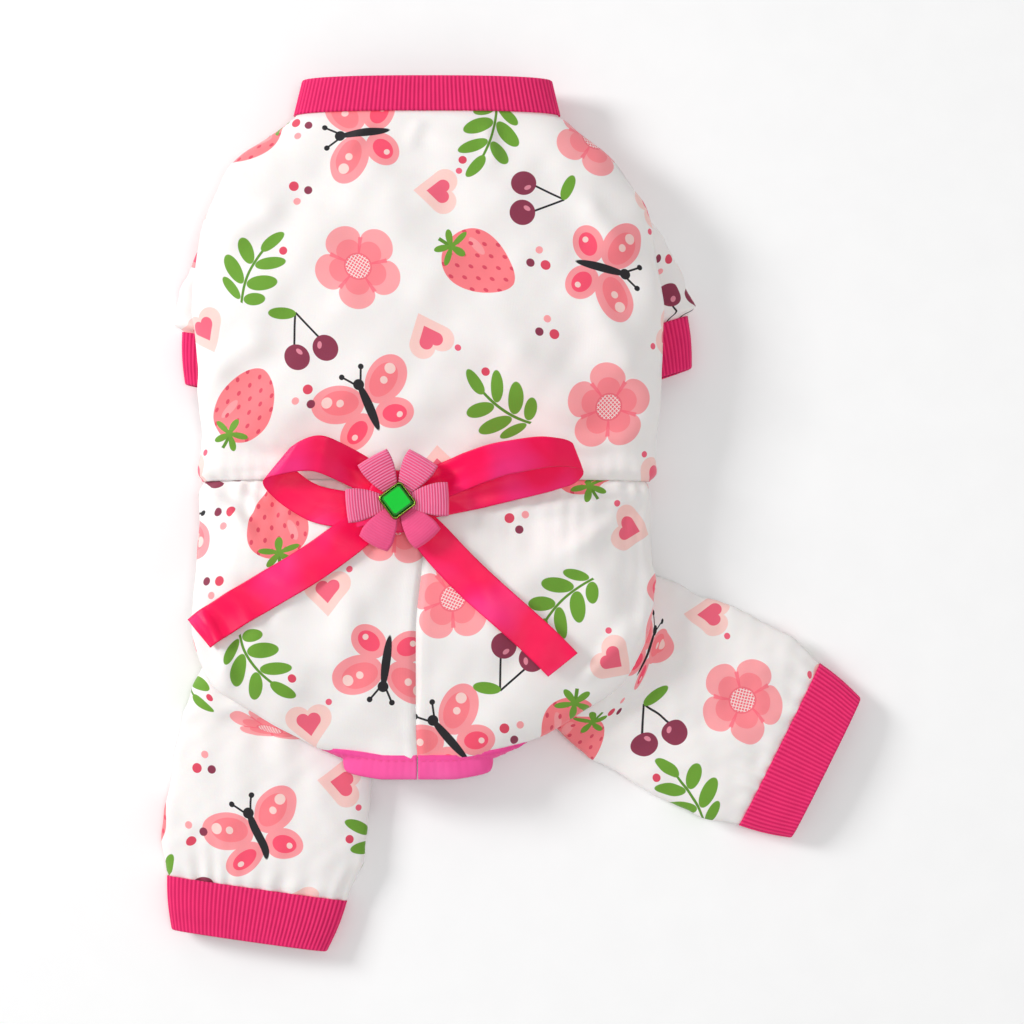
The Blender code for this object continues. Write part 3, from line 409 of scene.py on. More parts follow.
class Wire:                          # a socket of a node tree that takes + - * / and a few functions
    def __init__(self, tree, socket):
        self.tree, self.socket = tree, socket

    def math(self, operation, *others):
        node = self.tree.nodes.new("ShaderNodeMath")
        node.operation = operation
        for i, value in enumerate((self, *others)):
            if isinstance(value, Wire):
                self.tree.links.new(value.socket, node.inputs[i])
            else:
                node.inputs[i].default_value = value
        return Wire(self.tree, node.outputs[0])

    def __add__(self, other):
        return self.math("ADD", other)

    def __sub__(self, other):
        return self.math("SUBTRACT", other)

    def __mul__(self, other):
        return self.math("MULTIPLY", other)

    def __truediv__(self, other):
        return self.math("DIVIDE", other)

    def floor(self):
        return self.math("FLOOR")

    def part(self):
        return self.math("FRACT")

    def size(self):
        return self.math("ABSOLUTE")

    def sin(self):
        return self.math("SINE")

    def cos(self):
        return self.math("COSINE")

    def wave(self):                  # sine of a count of turns
        return (self * (2 * math.pi)).sin()

    def root(self):
        return self.math("MAXIMUM", 0.0).math("SQRT")

    def most(self, other):
        return self.math("MAXIMUM", other)

    def least(self, other):
        return self.math("MINIMUM", other)

    def clamp(self):
        return self.most(0.0).least(1.0)

    def inside(self, soft=0.14):     # 1 where a distance is below 0
        return (self * (-1.0 / soft) + 0.5).clamp()


def place(tree, socket):             # x and y of a place
    apart = tree.nodes.new("ShaderNodeSeparateXYZ")
    tree.links.new(socket, apart.inputs[0])
    return Wire(tree, apart.outputs[0]), Wire(tree, apart.outputs[1])


def blendInk(tree, base, ink, mask):
    # base where the mask is 0, ink where it is 1; each is a colour or a socket
    mix = tree.nodes.new("ShaderNodeMix")
    mix.data_type = "RGBA"
    tree.links.new(mask.socket, mix.inputs[0])
    for value, socket in ((base, mix.inputs[6]), (ink, mix.inputs[7])):
        if isinstance(value, list):
            socket.default_value = value
        else:
            tree.links.new(value, socket)
    return mix.outputs[2]


def noiseAt(tree, source, scale, detail=2.0):
    # soft noise round 0.5; its scale is a number or a socket
    node = tree.nodes.new("ShaderNodeTexNoise")
    node.inputs["Detail"].default_value = detail
    tree.links.new(source, node.inputs["Vector"])
    if isinstance(scale, float):
        node.inputs["Scale"].default_value = scale
    else:
        tree.links.new(scale, node.inputs["Scale"])
    return Wire(tree, node.outputs["Fac"])


def newGroup(name, inputs, outputs):
    # a node group: an input of None is a vector, a list a colour and a number a float
    tree = bpy.data.node_groups.new(name, "ShaderNodeTree")
    for label, value in inputs.items():
        kind = "Vector" if value is None else "Color" if isinstance(value, list) else "Float"
        socket = tree.interface.new_socket(label, in_out="INPUT", socket_type="NodeSocket" + kind)
        if value is not None:
            socket.default_value = value
    for label in outputs:
        kind = "Color" if label == "Colour" else "Float"
        tree.interface.new_socket(label, in_out="OUTPUT", socket_type="NodeSocket" + kind)
    return tree, tree.nodes.new("NodeGroupInput"), tree.nodes.new("NodeGroupOutput")


def give(tree, out, **values):       # links the group's outputs
    for label, value in values.items():
        tree.links.new(value.socket, out.inputs[label])


def disc(x, y, cx, cy, radius):      # distance to a circle, below 0 inside it
    dx, dy = x - cx, y - cy
    return (dx * dx + dy * dy).root() - radius


def oval(x, y, cx, cy, rx, ry, tilt=0.0):
    # about the distance to an ellipse tilted by so many degrees, below 0 inside it
    c, s = math.cos(math.radians(tilt)), math.sin(math.radians(tilt))
    dx, dy = x - cx, y - cy
    px, py = (dx * c + dy * s) / rx, (dy * c - dx * s) / ry
    return ((px * px + py * py).root() - 1.0) * min(rx, ry)


def filled(layers):                  # masks of the insides of (distance, colour) layers
    return [(distance.inside(), code) for distance, code in layers]


# motifs in millimetres round their own middle; each gives layers of (mask, colour) from below upwards

def butterfly(x, y):                 # two mirrored ovals a side, with ovals and dots inside, body and feelers
    ax = x.size()
    upper = oval(ax, y, 10.8, 6.2, 10.6, 7.6, 28)
    lower = oval(ax, y, 8.0, -7.6, 7.8, 6.2, -32)
    wing = upper.least(lower)
    feeler = ((ax - (y - 8.0) * 0.62).size() * 0.85 - 0.42).most(y * -1.0 + 8.0).most(y - 15.0)
    return filled([
        (wing, "FF9AA0"), (oval(ax, y, 9.8, 6.4, 7.6, 4.9, 28), "FF7F89"),
        (disc(ax, y, 14.4, 9.0, 2.2), "FDD5CF"), (disc(ax, y, 9.8, 6.2, 1.5), "FDD5CF"),
        (oval(ax, y, 8.0, -7.8, 4.9, 3.6, -32), "FF5070"), (disc(ax, y, 9.6, -9.2, 1.2), "FDD5CF"),
        (feeler, "16131A"), (disc(ax, y, 4.5, 15.2, 1.15), "16131A"),
        (oval(x, y, 0.0, -0.6, 1.75, 10.6), "16131A"), (disc(x, y, 0.0, 9.4, 2.2), "16131A"),
    ])


def strawberry(x, y):
    # an egg whose half width is a root of its height, staggered seeds, and a five-lobed crown of leaves
    t = y / 15.5
    width = (t * t * -1.0 + 1.0).root() * (t * 0.26 + 1.0) * 12.6 - 0.4
    fruit = (x.size() - width).inside()
    stagger = (y / 4.8).floor() * 0.5
    fx = ((x / 5.4 + stagger).part() - 0.5) * 5.4
    fy = ((y / 4.8).part() - 0.5) * 4.8
    seeds = oval(fx, fy, 0.0, 0.0, 0.72, 1.05).inside() * fruit
    rise = (y - 13.0) * 1.35
    reach = (x * x + rise * rise).root()
    leaves = (reach - ((x.math("ARCTAN2", rise * -1.0) * 5.0).cos() * 3.4 + 5.2)).inside()
    stem = (x.size() - 0.75).most(y * -1.0 + 13.0).most(y - 19.0).inside()
    shine = oval(x, y, -5.8, 4.6, 1.6, 4.4, 16).inside() * 0.55
    return [(fruit, "FF7F86"), (shine, "FFB3B4"), (seeds, "E0455F"), (stem, "5B8F22"), (leaves, "6BA02A")]


def blossom(x, y):
    # five lobes, whose reach goes with the cosine of the turn, round a latticed middle
    reach = (x * x + y * y).root()
    turn = y.math("ARCTAN2", x)
    lobes = (turn * 2.5).cos().size().root()
    centre = (reach - 5.6).inside()
    weave = (((x + y) / 1.7).part() - 0.5).size().least((((x - y) / 1.7).part() - 0.5).size())
    lattice = (weave - 0.13).inside(0.05) * (reach - 4.9).inside()
    veins = ((turn * 5.0 + 3.14159).cos() * -1.0 + 0.93).inside(0.05) * (reach - 12.0).inside() * 0.7
    petals = filled([(reach - (lobes * 6.6 + 11.0), "FFA3A7"), (reach - (lobes * 4.6 + 7.2), "FF868F")])
    return petals + [(veins, "FF5F78"), (centre, "F7707F"), (lattice, "FDE6E2")]


def sprig(x, y):                     # a bent stem with mirrored pairs of oval leaves and a bud
    bend = x + y * y * 0.012
    ax = bend.size()
    stem = (ax - 0.55).most(y.size() - 14.0)
    leaf = oval(ax, y, 5.6, 6.4, 6.0, 2.7, 38).least(oval(ax, y, 6.4, -2.6, 6.6, 3.0, 34))
    leaf = leaf.least(oval(ax, y, 5.2, -10.2, 5.0, 2.3, 30)).least(oval(bend, y, 0.0, 14.6, 2.6, 5.4))
    bud = disc(x, y, -8.6, 13.4, 1.7)
    return filled([(stem, "5B8F22"), (leaf, "6BA02A"), (bud, "E0455F")])


def cherries(x, y):                  # two mirrored discs on slanting stalks, and a leaf
    ax = x.size()
    stalk = ((ax - (y * -0.44 + 4.4)).size() * 0.9 - 0.42).most(y * -1.0 - 4.0).most(y - 10.0)
    return filled([
        (stalk, "16131A"), (oval(x, y, 5.2, 11.2, 5.6, 2.4, 18), "6BA02A"),
        (disc(ax, y, 6.2, -7.0, 5.2), "8C2F4B"), (oval(ax, y, 4.4, -5.2, 0.9, 1.5, -30), "E58A9E"),
    ])


def heart(x, y, s, rise):
    # two round lobes and the wedge whose sides just touch them
    ax, up = x.size(), y - rise
    wedge = (ax * 0.74 - up * 0.67 - 0.7555 * s).most(up + ax * 0.15 - 0.07 * s)
    return disc(ax, up, 0.5 * s, 0.35 * s, 0.62 * s).least(wedge)


def hearts(x, y):                    # a small heart in a large one, and a dot
    return filled([
        (heart(x, y, 8.4, 0.0), "FDD0C9"), (heart(x, y, 4.4, 0.8), "F2627C"),
        (disc(x, y, 8.8, 8.6, 1.3), "F2627C"),
    ])


def berries(x, y):                   # three loose dots
    return filled([
        (disc(x, y, -3.4, 1.0, 2.0), "E0455F"), (disc(x, y, 3.0, 2.4, 1.5), "FFA3A7"),
        (disc(x, y, 0.6, -3.6, 1.7), "8C2F4B"),
    ])


printLayout = {
    "tile": (98.0, 112.0), "stagger": 0.5,
    # motif, place in the tile, base turn, turn for each tile across and along
    "motifs": [
        (butterfly, 25.0, 29.0, 0.5, 2.3, 1.2), (strawberry, 75.0, 30.0, 2.7, 1.7, 2.6),
        (blossom, 26.0, 85.0, 0.2, 1.1, 0.6), (sprig, 70.0, 84.0, -0.5, 2.9, 1.9),
        (cherries, 50.0, 57.0, 0.3, 1.9, 3.0), (hearts, 92.0, 60.0, 0.4, 2.0, 1.4),
        (hearts, 0.0, 57.0, 3.5, 1.4, 2.2), (berries, 50.0, 4.0, 0.0, 1.0, 2.0),
        (berries, 51.0, 32.0, 1.0, 2.0, 1.0),
    ],
}


def spun(tree, x, y, angle):         # the place x, y turned about the middle
    join = tree.nodes.new("ShaderNodeCombineXYZ")
    tree.links.new(x.socket, join.inputs[0])
    tree.links.new(y.socket, join.inputs[1])
    spin = tree.nodes.new("ShaderNodeVectorRotate")
    spin.rotation_type = "Z_AXIS"
    tree.links.new(join.outputs[0], spin.inputs["Vector"])
    tree.links.new(angle.socket, spin.inputs["Angle"])
    return place(tree, spin.outputs[0])


def makePrint():
    # each motif repeats once in every tile, turned by an amount that changes from tile to tile
    ground = linear("F7F3F1")
    tree, given, out = newGroup("garden print", {"Cloth": None, "Ground": ground}, ["Colour", "Ink"])
    u, v = place(tree, given.outputs["Cloth"])
    colour, ink = given.outputs["Ground"], None
    tileX, tileY = printLayout["tile"]
    for motif, atX, atY, turn, turnX, turnY in printLayout["motifs"]:
        px, py = (u * 1000.0 - atX) / tileX + 0.5, (v * 1000.0 - atY) / tileY + 0.5
        column = px.floor()
        py = py + column * printLayout["stagger"]
        row = py.floor()
        angle = column * turnX + row * turnY + turn
        x, y = spun(tree, (px - column - 0.5) * tileX, (py - row - 0.5) * tileY, angle)
        for mask, code in motif(x, y):
            colour = blendInk(tree, colour, linear(code), mask)
            ink = mask if ink is None else ink.most(mask)
    tree.links.new(colour, out.inputs["Colour"])
    give(tree, out, Ink=ink)
    return tree


def makeStitches():
    # jersey: columns of small v loops, and an uneven swell of the cloth's tone; the hollows between the loops
    # are painted a little darker, as painted shade
    tree, given, out = newGroup("jersey loops", {"Cloth": None, "Wale": 0.00062, "Course": 0.00052},
                                ["Height", "Tone"])
    u, v = place(tree, given.outputs["Cloth"])
    across = ((u / Wire(tree, given.outputs["Wale"])).part() - 0.5).size()
    loop = (v / Wire(tree, given.outputs["Course"]) + across * 1.2).wave()
    height = loop * 0.35 + (across * math.pi).cos() * 0.65
    swell = noiseAt(tree, given.outputs["Cloth"], 90.0, 4.0)
    # the tone output holds the random swell and the painted shade in the loops' hollows
    give(tree, out, Height=height + swell * 0.8, Tone=height * 0.022 + swell * 0.05 + 0.955)
    return tree


def makeRibs():
    # ribbed knit: painted shade darkens the valleys between the ribs and the hollows of the loops along each
    # rib
    tree, given, out = newGroup("rib loops", {"Cloth": None, "Pitch": 0.00175, "Course": 0.0007},
                                ["Valley", "Height", "Tone"])
    u, v = place(tree, given.outputs["Cloth"])
    across = u / Wire(tree, given.outputs["Pitch"])
    crest = (across * (2 * math.pi)).cos() * 0.5 + 0.5
    slant = ((across * 2.0).part() - 0.5).size()
    loop = (v / Wire(tree, given.outputs["Course"]) + slant * 1.4).wave()
    swell = noiseAt(tree, given.outputs["Cloth"], 160.0)
    give(tree, out, Valley=crest * -1.0 + 1.0, Height=loop * 0.4 + crest * 0.6,
         Tone=loop * 0.05 + swell * 0.16 + 0.87)
    return tree


def makeThreads():
    # woven ribbon and tape: fine threads across and along, a denser edge on both sides, and soft broad
    # patches of painted sheen
    tree, given, out = newGroup(
        "woven threads", {"Cloth": None, "Across": 0.00022, "Along": 0.00030, "Width": 0.015},
        ["Height", "Tone", "Edge", "Bloom"])
    u, v = place(tree, given.outputs["Cloth"])
    weft = (u / Wire(tree, given.outputs["Across"])).wave()
    warp = (v / Wire(tree, given.outputs["Along"])).wave()
    edge = (((v / Wire(tree, given.outputs["Width"])).size() * 2.0 - 0.90) * 14.0).clamp()
    broad = noiseAt(tree, given.outputs["Cloth"], 34.0, 1.0)
    # the streaks give relief, and in the tone they are painted sheen along the ribbon; the threads' dips are
    # painted a little darker as shade
    streak = noiseAt(tree, given.outputs["Cloth"], 220.0, 3.0) * 0.6 + broad * 0.9 - 0.25
    sheenPatches = ((broad - 0.49) * 4.5).clamp()
    give(tree, out, Height=weft * 0.5 + warp * 0.25 + edge * 1.2 + streak,
         Tone=weft * 0.015 + warp * 0.01 + streak * 0.10 + 0.93, Edge=edge, Bloom=sheenPatches)
    return tree


def makeSwell():
    # moulded and polished pieces: one slow noise gives the mix of two tones, the height and the gloss
    tree, given, out = newGroup("slow swell", {"Cloth": None, "Scale": 300.0, "Gloss": 0.3},
                                ["Mix", "Height", "Roughness"])
    swell = noiseAt(tree, given.outputs["Cloth"], given.outputs["Scale"], 3.0)
    gloss = swell * 0.12 - 0.06 + Wire(tree, given.outputs["Gloss"])
    give(tree, out, Mix=swell, Height=swell, Roughness=gloss.clamp())
    return tree


groups = {
    "print": makePrint(), "jersey": makeStitches(), "rib": makeRibs(), "threads": makeThreads(),
    "swell": makeSwell(),
}


def newMaterial(name, **sockets):    # the shader's sockets by name, with _ for a space
    material = bpy.data.materials.new(name)
    material.use_nodes = True
    tree = material.node_tree
    shader = tree.nodes["Principled BSDF"]
    for label, value in sockets.items():
        shader.inputs[label.replace("_", " ")].default_value = value
    return material, tree, shader


def useGroup(tree, group, source, **values):
    # a node of the group, placed by the source and with its numbers or colours set
    node = tree.nodes.new("ShaderNodeGroup")
    node.node_tree = groups[group]
    tree.links.new(source, node.inputs["Cloth"])
    for label, value in values.items():
        node.inputs[label].default_value = value
    return node


def clothPlace(tree):                # metres of cloth, across and along
    node = tree.nodes.new("ShaderNodeUVMap")
    node.uv_map = "cloth"
    return node.outputs[0]


def toned(tree, colour, tone):       # the colour times a tone near 1
    node = tree.nodes.new("ShaderNodeVectorMath")
    node.operation = "SCALE"
    tree.links.new(colour, node.inputs[0])
    tree.links.new(tone, node.inputs["Scale"])
    return node.outputs[0]


def bump(tree, shader, height, strength, distance):
    # the height as a fine relief of the surface
    node = tree.nodes.new("ShaderNodeBump")
    node.inputs["Strength"].default_value = strength
    node.inputs["Distance"].default_value = distance
    tree.links.new(height, node.inputs["Height"])
    tree.links.new(node.outputs[0], shader.inputs["Normal"])


jerseyLook = {
    "ground": "F5F0EE", "roughness": 0.78, "inkGloss": 0.10, "bump": 0.25, "relief": 0.00012,
    "reverse": "F3EEEB", "showThrough": 0.16, "reverseBump": 0.3,
}


def makeJersey():
    # printed knit: the ink is a little smoother than the cloth
    look = jerseyLook
    material, tree, shader = newMaterial(
        "printed jersey", Sheen_Weight=0.25, Sheen_Roughness=0.5, Specular_IOR_Level=0.35,
        Subsurface_Weight=0.08, Subsurface_Scale=0.002)
    source = clothPlace(tree)
    printed = useGroup(tree, "print", source, Ground=linear(look["ground"]))
    loops = useGroup(tree, "jersey", source)
    tree.links.new(toned(tree, printed.outputs["Colour"], loops.outputs["Tone"]), shader.inputs["Base Color"])
    rough = Wire(tree, printed.outputs["Ink"]) * -look["inkGloss"] + look["roughness"]
    tree.links.new(rough.socket, shader.inputs["Roughness"])
    bump(tree, shader, loops.outputs["Height"], look["bump"], look["relief"])
    return material


def makeJerseyReverse():
    # the back of the cloth, where the print shows through faintly
    look = jerseyLook
    material, tree, shader = newMaterial("jersey reverse", Roughness=0.88, Sheen_Weight=0.3,
                                         Specular_IOR_Level=0.25)
    source = clothPlace(tree)
    printed = useGroup(tree, "print", source, Ground=linear(look["reverse"]))
    loops = useGroup(tree, "jersey", source, Wale=0.0007, Course=0.00045)
    faint = tree.nodes.new("ShaderNodeMix")
    faint.data_type = "RGBA"
    faint.inputs[0].default_value = look["showThrough"]
    faint.inputs[6].default_value = linear(look["reverse"])
    tree.links.new(printed.outputs["Colour"], faint.inputs[7])
    tree.links.new(toned(tree, faint.outputs[2], loops.outputs["Tone"]), shader.inputs["Base Color"])
    bump(tree, shader, loops.outputs["Height"], look["reverseBump"], look["relief"])
    return material


def makeRibKnit(name, crest, valleyShade, roughness=0.85, pitch=0.00175, course=0.0007):
    # the valleys between the ribs are of the second colour, a painted shade; the first colour on the crests
    # is lighter, a painted highlight
    material, tree, shader = newMaterial(name, Roughness=roughness, Sheen_Weight=0.12, Sheen_Roughness=0.4,
                                         Specular_IOR_Level=0.25)
    ribs = useGroup(tree, "rib", clothPlace(tree), Pitch=pitch, Course=course)
    colour = blendInk(tree, linear(crest), linear(valleyShade), Wire(tree, ribs.outputs["Valley"]) * 0.8)
    tree.links.new(toned(tree, colour, ribs.outputs["Tone"]), shader.inputs["Base Color"])
    bump(tree, shader, ribs.outputs["Height"], 0.5, 0.0002)
    return material


def makeWoven(name, colour, edge, sheenPatches, roughness, strength, **more):
    # the painted sheen colour comes up in broad soft patches, and the edge colour along both selvedges
    material, tree, shader = newMaterial(name, Roughness=roughness, **more)
    threads = useGroup(tree, "threads", clothPlace(tree))
    mixed = blendInk(tree, linear(colour), linear(sheenPatches), Wire(tree, threads.outputs["Bloom"]))
    mixed = blendInk(tree, mixed, linear(edge), Wire(tree, threads.outputs["Edge"]) * 0.5)
    tree.links.new(toned(tree, mixed, threads.outputs["Tone"]), shader.inputs["Base Color"])
    rough = Wire(tree, threads.outputs["Tone"]) * -0.5 + (roughness + 0.5)
    tree.links.new(rough.socket, shader.inputs["Roughness"])
    bump(tree, shader, threads.outputs["Height"], strength, 0.00006)
    return material


def makeSimple(name, colour, dark, scale, **sockets):
    # moulded or polished pieces: a slight change of tone and gloss over the piece, in its own coordinates
    material, tree, shader = newMaterial(name, **sockets)
    source = tree.nodes.new("ShaderNodeTexCoord").outputs["Object"]
    swell = useGroup(tree, "swell", source, Scale=scale, Gloss=sockets["Roughness"])
    mixed = blendInk(tree, linear(colour), linear(dark), Wire(tree, swell.outputs["Mix"]))
    tree.links.new(mixed, shader.inputs["Base Color"])
    tree.links.new(swell.outputs["Roughness"], shader.inputs["Roughness"])
    bump(tree, shader, swell.outputs["Height"], 0.05, 0.0001)
    return material


materials = {
    "jersey": makeJersey(),
    "reverse": makeJerseyReverse(),
    # cuffs and neckband: the crest colour is lighter as painted highlight, the valley colour darker as
    # painted shade
    "rib": makeRibKnit("pink rib knit", "FF3A7C", "D2085A"),
    # the bands' inside: the same rib knit in darker colours, painted shade
    "ribShadedInside": makeRibKnit("pink rib knit in painted shade", "DE1A66", "9C0442"),
    # tape: its third colour is painted sheen in broad patches
    "tape": makeWoven("bias tape", "FF56A4", "F4459A", "FF66AE", 0.66, 0.5, Sheen_Weight=0.1,
                      Specular_IOR_Level=0.25),
    # satin: its third colour is painted sheen in broad patches
    "satin": makeWoven("satin ribbon", "FF0B55", "F00850", "FF3080", 0.34, 0.25, Specular_IOR_Level=0.24,
                       Anisotropic=0.6),
    # ribbed petals: the light crest lines are painted highlight, the deep valleys painted shade
    "grosgrain": makeRibKnit("grosgrain ribbon", "FF93BC", "FF3A78", 0.5, 0.0011, 0.00024),
    # plain petals: the two colours are close, a faint painted shade in the valleys
    "petalPlain": makeRibKnit("smooth side of the grosgrain", "FF5F96", "FF528C", 0.5, 0.0011, 0.00024),
    "snap": makeSimple("white snap cap", "F6F5F4", "EDEBEA", 260.0, Roughness=0.28, Specular_IOR_Level=0.5,
                       Coat_Weight=0.3),
    "gold": makeSimple("green gold rim", "A9C552", "4F7E2A", 500.0, Roughness=0.22, Metallic=1.0),
    "gem": makeSimple("green stone table", "12D63C", "0CC234", 300.0, Roughness=0.16,
                      Specular_IOR_Level=0.22),
    # the stone's sides: the table's green painted darker, as shade
    "gemShadedSide": makeSimple("green stone side in painted shade", "0B9A30", "05701E", 300.0, Roughness=0.10,
                          Specular_IOR_Level=0.5),
    "whiteThread": makeSimple("white thread", "F2EFEE", "E0DCDA", 900.0, Roughness=0.6, Sheen_Weight=0.3),
    "pinkThread": makeSimple("pink thread", "FF4A98", "E83A86", 900.0, Roughness=0.6, Sheen_Weight=0.3),
}
knit = [materials["jersey"], materials["reverse"]]
print("materials made")

# the knit body

weave = {
    "bodiceRows": 128, "bodiceColumns": 240, "seatRows": 118, "seatColumns": 112, "bellyRows": 92,
    "bellyColumns": 46, "gap": 0.0003, "underRib": 0.0016,
    # fine relief: share of the folds' height, then size and height of the swells and the ripples
    "foldShare": 2.1, "swell": (0.036, 0.00085), "ripple": (0.014, 0.00017), "below": 0.3, "calm": 0.006,
    # dips of the cloth at its seams and hems, each as depth and width
    "hemDip": (0.0011, 0.0012), "seamDip": (0.0007, 0.0012), "ribDip": (0.0012, 0.0018),
    "centreDip": (0.0005, 0.0010), "bellyDip": (0.0006, 0.0012), "seatDip": (0.0019, 0.0028),
    "seatTuck": 0.0022,
    # roll over a seam, as height, distance from it and width
    "hemRoll": (0.0012, 0.0052, 0.0040), "centreRoll": (0.00030, 0.0030, 0.0016),
    "pucker": 0.00022, "puckerPitch": 0.0061, "puckerDrift": 90.0, "hemCalm": 0.004, "hemBelow": 0.25,
    # gathers at the waist, with their drift along the seam and the share and size of a wider wave
    "gather": 0.00055, "gatherPitch": 0.0075, "gatherReach": 0.016, "gatherDrift": (0.0016, 0.031),
    "gatherStart": 0.0015, "wideGather": (0.6, 1.7), "rowLean": 1.15,
    "bellySwell": (0.030, 0.00022), "bellyFloor": 0.0012, "armholeSlack": 1.3, "armholeBelow": 0.001,
    # where the print starts on each piece, across and along
    "printAt": {"seat-right": (0.012, 0.021), "seat-left": (-0.061, 0.047), "belly": (0.035, 0.071)},
}


def denser(count, lean=0.45):        # 0 to 1 with the points closer together towards both ends
    t = np.linspace(0.0, 1.0, count)
    return (1 - lean) * t + lean * (1 - np.cos(math.pi * t)) / 2


def fineRelief(x, y, top):
    # the small folds and swells, full height above and part of it below
    relief = weave["foldShare"] * ridges(x, y, backFolds[largeFolds:])
    relief = relief + ripples(x, y, *weave["swell"], 3) + ripples(x, y, *weave["ripple"], 8)
    return np.where(top, relief, weave["below"] * relief)


def dip(distance, depthAndWidth):    # a groove along a seam
    depth, width = depthAndWidth
    return depth * bell(distance, width)


def softRoll(distance, shape):       # a soft bulge beside a seam
    height, at, width = shape
    return height * bell(distance - at, width)


def raised(points, core, closed, height, floor=0.0004):
    # moves every point out along its own normal, and never through the floor
    normal, _ = gridNormals(points, core, closed)
    moved = points + normal * height[..., None]
    moved[..., 2] = np.maximum(moved[..., 2], floor)
    return moved


def coreLine(points, height):        # the middle of each row, at one height
    rows = points.shape[0]
    middle = points.mean(axis=1)
    return np.column_stack([middle[:, 0], middle[:, 1], np.full(rows, height)])


def clothMap(points, middleColumn, shift=(0.0, 0.0)):
    # metres of cloth: across from the middle column, and the garment's y along
    across = arcLengths(points, 1)
    across = across - across[:, middleColumn:middleColumn + 1]
    return np.dstack([across + shift[0], points[..., 1] + shift[1]])


def makeBodice():
    # the back from one belly seam round to the other, rows running from the waist hem up to the neck; the
    # seams are found again after the hem of the under side has moved the rows
    gap, rows, columns = weave["gap"], weave["bodiceRows"], weave["bodiceColumns"]
    v = denser(rows)[:, None]
    u = np.linspace(0.0, 1.0, columns)[None, :]
    topY = body["bodiceLength"] + weave["underRib"]
    y = v * topY + 0 * u
    for _ in range(3):
        seam = seamAt(y) + gap / 2
        right, left = underTurn(seam, y, 1), underTurn(-seam, y, -1)
        w = right + u * (left - right)
        x = skin(w, y)[..., 0]
        under = (w < 0) | (w > 2)
        low = np.where(under, np.maximum(archAt(x[:1]), -gap), -gap)[:1]
        y = low + v * (topY - low)
    points = skin(w, y)
    x, above = points[..., 0], y - low
    top = (w > 0) & (w < 2)
    hem = softRoll(above, weave["hemRoll"]) - dip(above, weave["hemDip"])
    pucker = np.sin(x * 2 * math.pi / weave["puckerPitch"] + 2 * np.sin(x * weave["puckerDrift"]))
    pucker = weave["pucker"] * pucker * np.exp(-above / weave["calm"])
    relief = fineRelief(x, points[..., 1], top) * smooth(above / weave["hemCalm"])
    relief = relief + np.where(top, hem + pucker, weave["hemBelow"] * hem)
    relief = relief - dip(arcLengths(points, 1), weave["seamDip"])
    relief = relief * smooth((topY - y) / weave["calm"]) - dip(topY - y, weave["ribDip"])
    core = coreLine(points, body["foldHeight"])
    points = raised(points, core, False, relief)
    points, keep = cutArmholes(points, ("sleeve_left", "sleeve_right"))
    uv = clothMap(points, columns // 2)
    thing = cloth("bodice", points, core, knit, uv, body["wall"], keep=keep)
    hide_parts("back_bodice")
    declare(thing, points)


def cutArmholes(points, names):
    # faces of the under side whose middle lies in a leg's round are left out, and the rim is drawn onto it
    keep = np.ones((points.shape[0] - 1, points.shape[1] - 1), bool)
    for name in names:
        root, along, across = limbAxes(name)
        size = limbShape["rootRadius"] + weave["armholeSlack"] * weave["gap"]
        away = points[..., :2] - root
        run, side = away @ along, away @ across
        reach = np.hypot(run, side) / size
        low = points[..., 2] < body["foldHeight"] - weave["armholeBelow"]
        middle = (reach[:-1, :-1] + reach[1:, :-1] + reach[:-1, 1:] + reach[1:, 1:]) / 4
        cut = (middle < 1.0) & low[:-1, :-1] & low[1:, 1:]
        keep = keep & ~cut
        touched = np.zeros(points.shape[:2], bool)
        kept = np.zeros(points.shape[:2], bool)
        for down, over in ((0, 0), (0, 1), (1, 0), (1, 1)):
            window = (slice(down, points.shape[0] - 1 + down), slice(over, points.shape[1] - 1 + over))
            touched[window] |= cut
            kept[window] |= ~cut
        rim = touched & kept
        scale = 1.0 / np.maximum(reach[rim], 0.3)
        drawn = root + away[rim] * scale[:, None]
        points[rim, 0], points[rim, 1] = drawn[:, 0], drawn[:, 1]
        points[rim, 2] = underAt(drawn[:, 0], drawn[:, 1])
    return points, keep


def makeSeat(side):
    # one half of the seat, from the middle of the back round to the edge of the opening; it is gathered at
    # the waist, where its first rows dip under the hem of the bodice
    hand = handOf(side)
    tuck, (drift, driftPitch) = weave["seatTuck"], weave["gatherDrift"]
    wideShare, wideness = weave["wideGather"]
    left = np.linspace(1.0, 0.0, weave["seatRows"]) ** weave["rowLean"]
    y = (tuck - (1.0 - left) * (body["seatLength"] + tuck))[:, None]
    w = 1.0 + np.linspace(0.0, 1.0, weave["seatColumns"])[None, :] * (openingTurn(np.minimum(y, 0.0)) - 1.0)
    w = w if side > 0 else 2.0 - w
    y = y + 0 * w
    points = skin(w, y)
    arc = arcLengths(points, 1)
    fade = np.exp(np.minimum(y, 0.0) / weave["gatherReach"]) * smooth(-y / weave["gatherStart"])
    wander = arc + drift * np.sin(arc * 2 * math.pi / driftPitch + side)
    wander = 2 * math.pi * wander / weave["gatherPitch"]
    gathers = weave["gather"] * fade * (np.sin(wander) + wideShare * np.sin(wander / wideness + 1.0))
    relief = fineRelief(points[..., 0], points[..., 1], (w > 0) & (w < 2))
    relief = relief * smooth(-y / weave["calm"]) + gathers
    relief = relief - weave["seatDip"][0] * np.exp(y / weave["seatDip"][1])
    relief = relief - dip(arc, weave["centreDip"]) + softRoll(arc, weave["centreRoll"])
    core = np.column_stack([0 * y[:, 0], y[:, 0], 0 * y[:, 0] + 0.9 * body["foldHeight"]])
    points = raised(points, core, False, relief)
    points, keep = cutArmholes(points, (f"leg_{hand}",))
    uv = clothMap(points, 0) * [float(side), 1.0] + np.array(weave["printAt"][f"seat-{hand}"])
    thing = cloth(f"seat-{hand}", points, core, knit, uv, body["wall"], keep=keep)
    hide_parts(f"seat_panel_{hand}")
    declare(thing, points)


